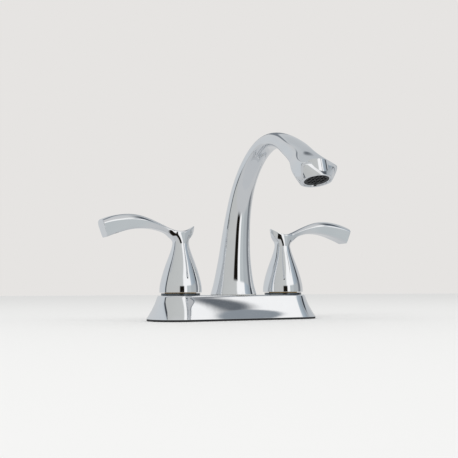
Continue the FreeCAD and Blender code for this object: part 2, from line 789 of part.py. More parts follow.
# Spout: round column, flattened arch and broad head, cut to a lip above the round nose
def spoutSection(reach, height, lean, wide, over, under, fullOver, fullUnder):
    # four Bezier quarters: fullness 0.5523 is an ellipse, more is squarer
    tilt = math.radians(lean)
    across = vector(1, 0, 0)
    up = vector(0, math.cos(tilt), math.sin(tilt))
    centre = vector(0, -reach, height)
    quarters = []
    for right, high in ((1, 1), (-1, 1), (-1, -1), (1, -1)):
        side = across * (right * wide)
        crown = up * (over if high > 0 else -under)
        full = fullOver if high > 0 else fullUnder
        poles = [centre + side, centre + side + crown * full, centre + side * full + crown, centre + crown]
        if right * high < 0:
            poles.reverse()
        curve = Part.BezierCurve()
        curve.setPoles(poles)
        quarters.append(curve.toShape())
    return Part.Wire(quarters)


def outletPlacement():
    # at the outlet's rim, local Z up the aerator's axis into the head
    return FreeCAD.Placement(vector(0, -value(outletReach), value(outletHeight)),
                             FreeCAD.Rotation(vector(1, 0, 0), -value(outletTilt)))


def atOutlet(shape):
    moved = shape.copy()
    moved.Placement = outletPlacement().multiply(moved.Placement)
    return moved


def spoutRows():
    # every station with its own reach and height
    reach, height = 0, value(glideTop)
    rows = []
    for name in spoutStations:
        step, rise, *rest = [value("spout" + cap(name) + field) for field in spoutFields]
        reach += step
        height += rise
        rows.append([reach, height] + rest)
    rows[-1][3] += value(noseRadius)
    rows[-1][5] += value(noseRadius)
    return rows


def spoutCasting():
    # the sheath is cut off in front of the lip, except for the round nose about the outlet
    sheath = Part.makeLoft([spoutSection(*row) for row in spoutRows()], True, False)
    reach, rim = value(outletReach), value(noseRadius)
    top = outletPlacement().multVec(vector(0, 0, value("noseTall")))
    nose = Part.makeLoft([
        spoutSection(reach, value(outletHeight), value("spoutChinLean"), rim, rim, rim, 0.5523, 0.5523),
        spoutSection(-top.y, top.z, value("spoutChinLean"), rim + value("noseWiden"), rim - value("noseDrawback"),
                     rim, value("noseFull"), 0.5523),
    ], True, True)
    front = Part.makeBox(reach, reach, reach, vector(-reach / 2, -reach, -reach / 2))
    front.rotate(vector(), vector(1, 0, 0), value("lipLean"))
    front.translate(vector(0, -reach - value("lipAhead"), value(outletHeight) + value("lipRise")))
    return sheath.cut(front.cut(nose))


def waterway():
    # foot recess, spigot bore, bent waterway and aerator chamber
    low, roof = value(glideTop), value("footRoof")
    recess = Part.makeCylinder(value("hubNeck") + 2 * value("looseGap"), roof - low + 1, vector(0, 0, low - 1))
    seat = Part.makeCylinder(value("hubSocket"), value("spigotTop") - roof + 1, vector(0, 0, roof - 1))
    radius = value("waterRadius")
    chamber = outletPlacement().multVec(vector(0, 0, value("chamberDepth")))
    stops = [(0.0, value("spigotTop") - 1, 0.0)]
    stops += [row[:3] for row in spoutRows()[3:15]]
    stops.append((-chamber.y, chamber.z, value("spoutChinLean")))
    circles = []
    for reach, height, lean in stops:
        tilt = math.radians(lean)
        circle = Part.Circle(vector(0, -reach, height), vector(0, math.sin(tilt), -math.cos(tilt)), radius)
        circles.append(Part.Wire([circle.toShape()]))
    bent = Part.makeLoft(circles, True, False)
    thread = atOutlet(Part.makeCylinder(value("housingRadius") + value("sealGap"),
                                        value("chamberDepth") + value("looseGap")))
    return recess.multiFuse([seat, bent, thread])


keep(freeForm("spout", spoutCasting().cut(waterway())))

# Spigot, seals and clip that carry the spout in its hub
groove = "(ringDepth)"
upperRing = "(clipHeight - 2.5 * ringThick)"
lowerRing = "(spigotFoot + ringThick)"
turnRadius = "(hubSocket - runGap)"
keep(turned("spout_spigot", [
    ("spigotBore", "spigotFoot"), (turnRadius, "spigotFoot"), (turnRadius, lowerRing),
    ("(%s - ringDepth)" % turnRadius, lowerRing), ("(%s - ringDepth)" % turnRadius, "(%s + ringThick)" % lowerRing),
    (turnRadius, "(%s + ringThick)" % lowerRing), (turnRadius, upperRing),
    ("(%s - ringDepth)" % turnRadius, upperRing), ("(%s - ringDepth)" % turnRadius, "(%s + ringThick)" % upperRing),
    (turnRadius, "(%s + ringThick)" % upperRing), (turnRadius, "clipHeight"),
    ("(hubSocket - clipDepth)", "clipHeight"), ("(hubSocket - clipDepth)", "(clipHeight + clipThick)"),
    (turnRadius, "(clipHeight + clipThick)"), (turnRadius, "(%s + looseGap)" % hubTop),
    ("(hubNeck - 1)", "(%s + looseGap)" % hubTop), ("(hubNeck - 1)", "(%s + looseGap + spigotFlange)" % hubTop),
    (turnRadius, "(%s + looseGap + spigotFlange)" % hubTop), (turnRadius, "spigotTop"), ("spigotBore", "spigotTop"),
]))
for name, low in (("spout_lower_o_ring", lowerRing), ("spout_upper_o_ring", upperRing)):
    keep(turned(name, ringProfile("(%s - ringDepth + sealGap)" % turnRadius, "(hubSocket - sealGap)",
                                  "(%s + sealGap)" % low, "(%s + ringThick - sealGap)" % low)))
keep(turned("spout_retaining_clip", ringProfile("(hubSocket - clipDepth + sealGap)",
                                                "(hubSocket + clipDepth / 2)", "(clipHeight + sealGap)",
                                                "(clipHeight + clipThick - sealGap)"), 320.0))
keep(turned("spout_glide_ring", ringProfile("(spoutFootWide - glideWidth)", "(spoutFootWide - looseGap)",
                                            plateTop, glideTop)))


# Aerator: threaded housing, honeycomb insert, wire screen and washer, on the outlet's tilted axis
def tilted(body):
    place = outletPlacement()
    body.Placement = place
    bind(body, Placement__Base__y="-1 * " + outletReach, Placement__Base__z=outletHeight,
         Placement__Rotation__Angle="-1 * %s * 1 deg" % outletTilt)
    return body


insertLow = "(housingInset + housingLip)"
insertTop = "(housingInset + housingLip + insertThick)"
housingTop = "(housingInset + housingDepth)"
housingMouth = "(housingRadius - housingWall - housingLip)"
keep(tilted(turned("aerator_housing", [
    (housingMouth, "housingInset"), ("housingRadius", "housingInset"), ("housingRadius", housingTop),
    (housingBore, housingTop), (housingBore, insertLow), (housingMouth, insertLow),
])))


def aeratorInsert():
    # round disc pierced by a square grid of cells
    disc = Part.makeCylinder(value(housingBore) - value("fitGap"), value("insertThick"))
    pitch = value("insertCell") + value("insertWeb")
    side = value("insertCell")
    limit = value(housingBore) - value("insertWeb")
    steps = int(limit // pitch)
    cells = []
    for i in range(-steps, steps + 1):
        for j in range(-steps, steps + 1):
            if math.hypot(abs(i * pitch) + side / 2, abs(j * pitch) + side / 2) < limit:
                cells.append(Part.makeBox(side, side, value("insertThick") + 2,
                                          vector(i * pitch - side / 2, j * pitch - side / 2, -1)))
    shape = disc.cut(cells)
    shape.translate(vector(0, 0, value(insertLow)))
    return atOutlet(shape)


keep(freeForm("aerator_insert", aeratorInsert()))
keep(tilted(turned("aerator_screen", ringProfile("0", "(%s - fitGap)" % housingBore, insertTop,
                                                 "(%s + screenThick)" % insertTop))))
keep(tilted(turned("aerator_washer", ringProfile(housingBore, "(housingRadius - fitGap)", housingTop,
                                                 "(%s + washerThick)" % housingTop))))

doc.recompute()
for label, thing in pieces:
    if thing.Shape.isNull() or not thing.Shape.isValid() or "Invalid" in thing.State:
        raise RuntimeError(label + " has no valid shape")
    thing.Shape.exportStep("parts/" + label + ".step")
print("pieces", len(pieces))
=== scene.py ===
import json
import math
from functools import partial

import bmesh
import bpy
import numpy as np
from mathutils import Matrix, Vector


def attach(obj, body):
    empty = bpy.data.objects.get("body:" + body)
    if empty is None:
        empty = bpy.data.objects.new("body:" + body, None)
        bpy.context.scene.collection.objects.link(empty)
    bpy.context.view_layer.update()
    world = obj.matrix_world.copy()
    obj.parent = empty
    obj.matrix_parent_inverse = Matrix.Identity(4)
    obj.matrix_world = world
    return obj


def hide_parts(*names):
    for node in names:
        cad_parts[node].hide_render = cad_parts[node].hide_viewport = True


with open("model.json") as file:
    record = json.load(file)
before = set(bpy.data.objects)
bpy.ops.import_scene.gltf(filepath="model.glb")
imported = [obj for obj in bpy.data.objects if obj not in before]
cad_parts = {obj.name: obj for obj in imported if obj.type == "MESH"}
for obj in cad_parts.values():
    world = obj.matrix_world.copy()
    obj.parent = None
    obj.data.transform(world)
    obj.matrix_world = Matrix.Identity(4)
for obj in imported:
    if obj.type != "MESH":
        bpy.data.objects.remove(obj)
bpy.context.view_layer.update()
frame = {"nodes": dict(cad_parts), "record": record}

mm = 0.001
handleCentre = 50.8      # mm from the middle to each handle's axis
scene = bpy.context.scene
scene.view_settings.view_transform = "Standard"
print("frame loaded,", len(frame["nodes"]), "nodes")


def linear(hexCode):
    # an sRGB hex colour as linear RGBA
    parts = [int(hexCode[i:i + 2], 16) / 255 for i in (0, 2, 4)]
    return tuple(c / 12.92 if c <= 0.04045 else ((c + 0.055) / 1.055) ** 2.4
                 for c in parts) + (1.0,)


def addNode(tree, kind, settings=None, links=None):
    # settings are the node's own properties, or else input values; links come from other nodes
    node = tree.nodes.new(kind)
    for name, value in (settings or {}).items():
        if isinstance(name, str) and hasattr(node, name):
            setattr(node, name, value)
        else:
            node.inputs[name].default_value = value
    for name, source in (links or {}).items():
        tree.links.new(source, node.inputs[name])
    return node


def feed(tree, node, values):
    # numbers or other nodes' outputs into a node's inputs, in their order
    for k, value in enumerate(values):
        if isinstance(value, (int, float)):
            node.inputs[k].default_value = value
        else:
            tree.links.new(value, node.inputs[k])
    return node.outputs[0]


def field(tree, operation, *values):
    # one step of arithmetic
    return feed(tree, addNode(tree, "ShaderNodeMath", {"operation": operation}), values)


def vector(tree, *values):
    return feed(tree, addNode(tree, "ShaderNodeCombineXYZ"), values)


def fillRamp(node, stops):
    ramp = node.color_ramp
    while len(ramp.elements) > 1:
        ramp.elements.remove(ramp.elements[-1])
    for i, (place, colour) in enumerate(stops):
        element = ramp.elements[0] if i == 0 else ramp.elements.new(place)
        element.position = place
        element.color = colour


# Camera: low, left of the spout, looking up a little
cameraSettings = {
    "place": (-292.12, -590.59, 24.75),      # mm
    "right": (0.89899, -0.43792, -0.00581),
    "up": (-0.03180, -0.07849, 0.99641),
    "ahead": (0.43680, 0.89558, 0.08449),
    "focal": 735.89, "imageWide": 458,       # pixels
    "sensor": 36.0, "nearest": 10.0,         # mm
}


def setCamera():
    data = bpy.data.cameras.new("camera")
    data.sensor_width = cameraSettings["sensor"]
    data.lens = cameraSettings["focal"] * data.sensor_width / cameraSettings["imageWide"]
    data.clip_start = cameraSettings["nearest"] * mm
    camera = bpy.data.objects.new("camera", data)
    right, up, ahead = (Vector(cameraSettings[k]) for k in ("right", "up", "ahead"))
    place = Vector(cameraSettings["place"]) * mm
    rows = [(right[i], up[i], -ahead[i], place[i]) for i in range(3)]
    camera.matrix_world = Matrix(rows + [(0, 0, 0, 1)])
    scene.collection.objects.link(camera)
    scene.camera = camera


setCamera()
print("camera set")


# Studio: even soft light for the floor, and a room of pale and dark bands that only metal shows
studio = {
    "backdrop": "E6E4E2",
    "floor": "ECECEB",
    "floorInMirrors": "C2C5C8",
    "daylight": 0.86,
    # bands by the turn about the object, 0 to 1 from -X through the camera's side; the upper ones
    # start about 15 degrees above the horizon
    "lowerBand": (
        (0.000, "C3C5C4"), (0.170, "C6C7C6"), (0.184, "16130F"), (0.240, "1A1613"),
        (0.248, "FFFFFF"), (0.282, "FFFFFF"), (0.292, "BCC3C5"), (0.335, "C3C8CA"),
        (0.362, "B3B9BC"), (0.440, "B2B7BA"), (0.458, "777B80"), (0.500, "7B7F84"),
        (0.516, "C6C7C8"), (0.680, "CFD0D1"), (0.900, "CDD2D6"), (0.928, "C3C9CE"),
        (0.936, "3A3E44"), (0.950, "40444A"), (0.958, "C3C5C4"),
    ),
    "upperBand": (
        (0.000, "C3C5C4"), (0.222, "C8CAC9"), (0.240, "FFFFFF"), (0.352, "FFFFFF"),
        (0.366, "B4BFC8"), (0.440, "98A2AB"), (0.456, "A9AEB2"), (0.490, "B2B7BB"),
        (0.510, "BCC0C4"), (0.620, "C0C4C7"), (0.652, "C9CCCF"), (0.664, "7D838A"),
        (0.692, "7D838A"), (0.706, "CFD1D3"), (0.900, "CDD2D6"), (0.928, "C3C9CE"),
        (0.936, "3A3E44"), (0.950, "40444A"), (0.958, "C3C5C4"),
    ),
    # heights are sines of the angle above the horizon, each pair the start and end of a soft step
    "upperRise": (0.23, 0.30), "twist": 0.177, "twistFrom": 0.515,
    "ceiling": "CFD0D1", "ceilingRise": (0.86, 0.96),
    "ceilingBack": "C6CACD", "ceilingTurn": (0.22, 0.40), "backWay": (0.342, 0.94),
    "worktop": "C6C8CA", "worktopFall": (-0.32, -0.44), "worktopRough": 0.6,
    "worktopReach": (0.13, 5.0), "worktopLevel": -0.0002,      # metres; its near and far part
    "worktopSides": 96,
    "panels": (                        # turn and height of the middle, half sizes, softness, colour
        ((0.3236, 0.640), (0.0095, 0.155), (0.35, 1.15), "686D73"),
        ((0.3320, 0.752), (0.0135, 0.060), (0.75, 1.05), "8F969D"),
        ((0.4500, 0.900), (0.0950, 0.160), (0.60, 1.00), "565C63"),
        ((0.4790, 0.370), (0.0230, 0.220), (0.65, 1.00), "343A41"),
    ),
}


def buildWorld():
    # seen in metal, the studio is a room of pale and dark walls, and plain otherwise
    world = bpy.data.worlds.new("studio")
    scene.world = world
    world.use_nodes = True
    tree = world.node_tree
    tree.nodes.clear()
    look = addNode(tree, "ShaderNodeTexCoord")
    axes = addNode(tree, "ShaderNodeSeparateXYZ", links={0: look.outputs["Generated"]})
    height = axes.outputs["Z"]
    number = partial(field, tree)

    def step(low, high, source):
        soft = {"interpolation_type": "SMOOTHSTEP", 1: low, 2: high}
        return addNode(tree, "ShaderNodeMapRange", soft, {0: source}).outputs[0]

    def blend(share, under, over):
        mix = addNode(tree, "ShaderNodeMix", {"data_type": "RGBA"}, {0: share})
        for slot, source in ((6, under), (7, over)):
            if isinstance(source, str):
                mix.inputs[slot].default_value = linear(source)
            else:
                tree.links.new(source, mix.inputs[slot])
        return mix.outputs[2]

    def ramp(stops, source):
        band = addNode(tree, "ShaderNodeValToRGB", links={0: source})
        fillRamp(band, [(place, linear(code)) for place, code in stops])
        return band.outputs[0]

    turn = number("ARCTAN2", axes.outputs["Y"], axes.outputs["X"])
    share = number("MULTIPLY_ADD", turn, 0.5 / math.pi, 0.5)
    over = number("MAXIMUM", number("SUBTRACT", height, studio["twistFrom"]), 0.0)
    twisted = number("SUBTRACT", share, number("MULTIPLY", over, studio["twist"]))
    upper = ramp(studio["upperBand"], twisted)
    for (turnAt, riseAt), (wide, tall), (near, far), colour in studio["panels"]:
        across = number("MULTIPLY", number("SUBTRACT", twisted, turnAt), 1 / wide)
        up = number("MULTIPLY", number("SUBTRACT", height, riseAt), 1 / tall)
        squares = number("ADD", number("MULTIPLY", across, across), number("MULTIPLY", up, up))
        away = number("POWER", squares, 0.5)
        upper = blend(step(far, near, away), upper, colour)
    lower = ramp(studio["lowerBand"], share)
    walls = blend(step(*studio["upperRise"], height), lower, upper)
    back = number("ADD", *(number("MULTIPLY", axes.outputs[name], way)
                           for name, way in zip("XY", studio["backWay"])))
    ceiling = blend(step(*studio["ceilingTurn"], back), studio["ceiling"],
                    studio["ceilingBack"])
    room = blend(step(*studio["ceilingRise"], height), walls, ceiling)
    room = blend(step(*studio["worktopFall"], height), room, studio["worktop"])
    path = addNode(tree, "ShaderNodeLightPath")
    lit = blend(path.outputs["Is Glossy Ray"], "FFFFFF", room)
    seen = blend(path.outputs["Is Camera Ray"], lit, studio["backdrop"])
    direct = number("MAXIMUM", path.outputs["Is Camera Ray"], path.outputs["Is Glossy Ray"])
    power = addNode(tree, "ShaderNodeMapRange", {3: studio["daylight"], 4: 1.0}, {0: direct})
    shine = addNode(tree, "ShaderNodeBackground", links={0: seen, 1: power.outputs[0]})
    addNode(tree, "ShaderNodeOutputWorld", links={0: shine.outputs[0]})


def buildFloor():
    # one flat worktop in two parts: polished metal shows only the near one, and the room beyond it
    material = bpy.data.materials.new("matt white worktop")
    material.use_nodes = True
    tree = material.node_tree
    shader = tree.nodes["Principled BSDF"]
    shader.inputs["Roughness"].default_value = studio["worktopRough"]
    shader.inputs["Specular IOR Level"].default_value = 0.0
    shader.inputs["Base Color"].default_value = linear(studio["floor"])
    path = addNode(tree, "ShaderNodeLightPath")
    plain = addNode(tree, "ShaderNodeEmission", {"Color": linear(studio["floorInMirrors"])})
    chosen = addNode(tree, "ShaderNodeMixShader", links={
        0: path.outputs["Is Glossy Ray"], 1: shader.outputs[0], 2: plain.outputs[0]})
    tree.links.new(chosen.outputs[0], tree.nodes["Material Output"].inputs["Surface"])
    sides, level = studio["worktopSides"], studio["worktopLevel"]
    angles = [2 * math.pi * k / sides for k in range(sides)]
    near, far = ([(reach * math.cos(a), reach * math.sin(a), level) for a in angles]
                 for reach in studio["worktopReach"])
    inner = [tuple(range(sides))]
    outer = [(sides + k, sides + (k + 1) % sides, (k + 1) % sides, k) for k in range(sides)]
    for name, points, faces in (("floorNear", near, inner), ("floorFar", near + far, outer)):
        mesh = bpy.data.meshes.new(name)
        mesh.from_pydata(points, [], faces)
        mesh.materials.append(material)
        part = bpy.data.objects.new(name, mesh)
        scene.collection.objects.link(part)
        part.visible_glossy = name == "floorNear"


lamps = (
    # name, place in metres, aim, size in metres, watts
    ("window", (-1.4, -0.9, 1.3), (0.0, 0.0, 0.08), 1.0, 9),
    ("fill", (1.2, -1.2, 1.0), (0.0, 0.0, 0.08), 0.8, 3.5),
)


def buildLamps():
    for name, place, aim, size, watts in lamps:
        data = bpy.data.lights.new(name, "AREA")
        data.shape = "RECTANGLE"
        data.size, data.size_y, data.energy = size, size, watts
        lamp = bpy.data.objects.new(name, data)
        lamp.location = place
        lamp.rotation_euler = (Vector(aim) - Vector(place)).to_track_quat("-Z", "Y").to_euler()
        lamp.visible_glossy = False
        scene.collection.objects.link(lamp)


buildWorld()
buildFloor()
buildLamps()
print("studio lit")


# Finishes: what each is made of and how. Sizes of patterns are in mm.
finishes = {
    # bright nickel-chromium plating over a polished casting: a mirror with the faintest waviness
    "polished chrome plate": {
        "light": "F4F5F6", "dark": "ECEDEF", "metallic": 1.0,
        "rough": (0.02, 0.045), "cloud": 14.0, "grain": 9.0, "bump": 0.0008},
    # cut on a lathe and left bare: a warm, soft shine
    "turned brass": {
        "light": "D8B36A", "dark": "B98F45", "metallic": 1.0,
        "rough": (0.22, 0.38), "cloud": 9.0, "grain": 0.6, "bump": 0.05},
    # pulled through a die: red and slightly clouded
    "drawn copper tube": {
        "light": "D98E68", "dark": "A85D3F", "metallic": 1.0,
        "rough": (0.25, 0.42), "cloud": 6.0, "grain": 0.8, "bump": 0.04},
    # rolled bright, a little greyer and softer than the plating
    "bright stainless steel": {
        "light": "C9CBCD", "dark": "A9ABAE", "metallic": 1.0,
        "rough": (0.18, 0.32), "cloud": 5.0, "grain": 0.4, "bump": 0.04},
    # dark plating with a satin shine, it frames the foot of each bell
    "blackened chrome ring": {
        "light": "70767C", "dark": "4C5157", "metallic": 1.0,
        "rough": (0.16, 0.30), "cloud": 7.0, "grain": 0.7, "bump": 0.03},
    # ground flat and smooth: creamy white with a soft gloss
    "lapped alumina ceramic": {
        "light": "F3EFE8", "dark": "E4DDD2", "metallic": 0.0,
        "rough": (0.18, 0.30), "cloud": 4.0, "grain": 0.25, "bump": 0.02},
    # pressed in a form: dull and nearly black
    "moulded black rubber": {
        "light": "1F2022", "dark": "131416", "metallic": 0.0,
        "rough": (0.55, 0.75), "cloud": 5.0, "grain": 0.5, "bump": 0.12},
    # injection moulded: milky and waxy
    "moulded white acetal": {
        "light": "E9E9E6", "dark": "DADAD6", "metallic": 0.0,
        "rough": (0.38, 0.52), "cloud": 8.0, "grain": 0.5, "bump": 0.05},
    # injection moulded: satin, with a fine even grain
    "moulded black nylon": {
        "light": "2A2C2F", "dark": "1C1D20", "metallic": 0.0,
        "rough": (0.42, 0.58), "cloud": 6.0, "grain": 0.45, "bump": 0.08},
}


def makeFinish(name, look):
    # soft clouds move colour and gloss, a fine grain lifts the surface
    material = bpy.data.materials.new(name)
    material.use_nodes = True
    tree = material.node_tree
    shader = tree.nodes["Principled BSDF"]
    shader.inputs["Metallic"].default_value = look["metallic"]
    place = addNode(tree, "ShaderNodeTexCoord").outputs["Object"]
    clouds = addNode(tree, "ShaderNodeTexNoise", {
        "Scale": 1 / (look["cloud"] * mm), "Detail": 3.0, "Roughness": 0.5}, {"Vector": place})
    cloud = clouds.outputs["Fac"]
    colour = addNode(tree, "ShaderNodeMix", {
        "data_type": "RGBA", 6: linear(look["dark"]), 7: linear(look["light"])}, {0: cloud})
    tree.links.new(colour.outputs[2], shader.inputs["Base Color"])
    low, high = look["rough"]
    # most of the noise lies between 0.3 and 0.7
    gloss = addNode(tree, "ShaderNodeMapRange", {1: 0.3, 2: 0.7, 3: low, 4: high}, {0: cloud})
    tree.links.new(gloss.outputs[0], shader.inputs["Roughness"])
    grain = addNode(tree, "ShaderNodeTexNoise", {
        "Scale": 1 / (look["grain"] * mm), "Detail": 2.0}, {"Vector": place})
    bump = addNode(tree, "ShaderNodeBump", {
        "Strength": look["bump"], "Distance": look["grain"] * mm}, {"Height": grain.outputs["Fac"]})
    tree.links.new(bump.outputs[0], shader.inputs["Normal"])
    return material


finish = {name: makeFinish(name, look) for name, look in finishes.items()}
slotFinish = {
    "polished_chrome": "polished chrome plate", "dark_ring": "blackened chrome ring",
    "brass": "turned brass", "copper": "drawn copper tube",
    "ceramic": "lapped alumina ceramic", "black_rubber": "moulded black rubber",
    "steel": "bright stainless steel", "white_plastic": "moulded white acetal",
    "dark_plastic": "moulded black nylon",
}
print("finishes made")

for entry in frame["record"]["subparts"]:
    mesh = frame["nodes"][entry["node"]].data
    mesh.materials.clear()
    mesh.materials.append(finish[slotFinish[entry["material_slot"]]])
print("frame finished")

ellipse = 0.5523      # how full the quarter of an ellipse is


def quarter(t, full):
    # a quarter of a section, across and up, fuller or flatter than an ellipse
    return ((1 - t) ** 3 + 3 * (1 - t) ** 2 * t + 3 * (1 - t) * t * t * full,
            3 * (1 - t) ** 2 * t * full + 3 * (1 - t) * t * t + t ** 3)


def smoothLine(knots, rows, slopes=None):
    # cubic spline through rows of values; slopes fix its two ends, which are free without them
    knots, rows = np.asarray(knots, float), np.asarray(rows, float)
    gap, count = np.diff(knots), len(knots)
    steep = np.diff(rows, axis=0) / gap.reshape([-1] + [1] * (rows.ndim - 1))
    system, right = np.eye(count), np.zeros_like(rows)
    for i in range(1, count - 1):
        system[i, i - 1:i + 2] = gap[i - 1], 2 * (gap[i - 1] + gap[i]), gap[i]
        right[i] = 6 * (steep[i] - steep[i - 1])
    if slopes is not None:
        system[0, :2], right[0] = (2 * gap[0], gap[0]), 6 * (steep[0] - slopes[0])
        system[-1, -2:], right[-1] = (gap[-1], 2 * gap[-1]), 6 * (slopes[1] - steep[-1])
    bend = np.linalg.solve(system, right)

    def at(where):
        where = np.asarray(where, float)
        i = np.clip(np.searchsorted(knots, where) - 1, 0, count - 2)
        wide = gap[i]
        low = (knots[i + 1] - where) / wide
        high = 1 - low
        if rows.ndim > 1:
            low, high, wide = low[..., None], high[..., None], wide[..., None]
        return (low * rows[i] + high * rows[i + 1]
                + ((low ** 3 - low) * bend[i] + (high ** 3 - high) * bend[i + 1]) * wide ** 2 / 6)
    return at


def rework(piece, work):
    # one job done on a piece's mesh
    shell = bmesh.new()
    shell.from_mesh(piece.data)
    work(shell)
    shell.to_mesh(piece.data)
    shell.free()


def newPiece(name, points, faces, creases=None):
    # one closed mesh, points in mm, faces turned outwards
    mesh = bpy.data.meshes.new(name)
    mesh.from_pydata([tuple(float(c) * mm for c in p) for p in points], [], faces)
    piece = bpy.data.objects.new(name, mesh)
    scene.collection.objects.link(piece)

    def finishShell(shell):
        if shell.calc_volume(signed=True) < 0:
            bmesh.ops.reverse_faces(shell, faces=shell.faces)
        if creases:
            layer = shell.edges.layers.float.new("crease_edge")
            shell.verts.ensure_lookup_table()
            for (a, b), amount in creases.items():
                edge = shell.edges.get((shell.verts[a], shell.verts[b]))
                if edge:
                    edge[layer] = amount
        for face in shell.faces:
            face.smooth = True

    rework(piece, finishShell)
    return piece


def turnOutwards(piece):
    rework(piece, lambda shell: bmesh.ops.recalc_face_normals(shell, faces=shell.faces))


def soften(piece, levels):
    smooth = piece.modifiers.new("soften", "SUBSURF")
    smooth.levels = smooth.render_levels = levels
    return piece


# Spout: one casting, drawn as rings of points from the foot over the arch to the lip, round the
# nose and back inside
spoutForm = {
    # step forward, rise, lean from upright, half width, over, under, fullness over and under
    "stations": (
        (0.0, 0.0, 0.0, 20.6, 20.6, 20.6, ellipse, ellipse),
        (0.2, 6.0, 1.5, 18.8, 18.8, 18.8, ellipse, ellipse),
        (0.8, 12.0, 4.0, 16.4, 16.4, 16.4, ellipse, ellipse),
        (1.6, 14.0, 6.5, 14.3, 14.3, 14.3, ellipse, ellipse),
        (2.9, 18.0, 11.0, 12.6, 12.4, 12.4, ellipse, ellipse),
        (4.2, 17.0, 16.5, 11.3, 10.6, 10.6, ellipse, ellipse),
        (5.9, 16.0, 24.0, 10.4, 9.2, 9.6, ellipse, ellipse),
        (8.9, 15.0, 37.0, 9.8, 7.8, 8.4, ellipse, ellipse),
        (12.0, 12.5, 51.0, 9.5, 6.6, 7.4, 0.56, ellipse),
        (14.5, 9.3, 65.0, 9.4, 6.2, 6.5, 0.57, ellipse),
        (15.5, 4.4, 82.0, 9.7, 6.4, 5.8, 0.58, ellipse),
        (15.5, -1.0, 103.0, 10.2, 6.9, 5.4, 0.60, 0.56),
        (14.5, -5.4, 117.0, 10.9, 7.4, 5.5, 0.64, 0.56),
        (13.5, -8.3, 126.0, 12.4, 8.2, 5.2, 0.67, 0.56),
        (12.0, -9.5, 133.0, 13.0, 9.5, 5.8, 0.70, 0.51),
        (9.2, -9.4, 148.0, 16.2, 11.7, 6.5, 1.12, 0.48),
        (3.7, -3.9, 156.3, 15.1, 15.9, 9.1, 1.0, 0.52),
        (3.8, -3.8, 165.2, 12.6, 21.5, 12.2, 0.76, ellipse),
    ),
    "headFrom": 14,                    # the station where the head begins
    "foot": 22.0, "rim": 12.0,         # the foot's height, the radius of the outlet's rim
    "edge": 0.35, "ease": 0.3,         # how close to an edge its next ring lies, outside and inside
    "noseTall": 11.0, "noseWide": 15.9, "noseOver": 7.4, "noseFull": 0.95, "noseFade": 0.14,
    "lipAhead": 4.5, "lipRise": 10.7, "lipLean": 22.0, "lipAbove": 1.2, "noseAbove": 0.6,
    "bore": 10.62, "boreRings": (4, 9), "chamber": 13.5, "throat": 7.5,
    "waterway": 4.2, "waterFrom": 3, "waterRings": 40,
    "seat": 8.5, "seatLow": 34.0, "seatTop": 47.0, "recess": 13.0,
    "columns": 96, "sheathFrom": 2.0, "sheathRings": 62, "headRings": 11, "search": 600,
}


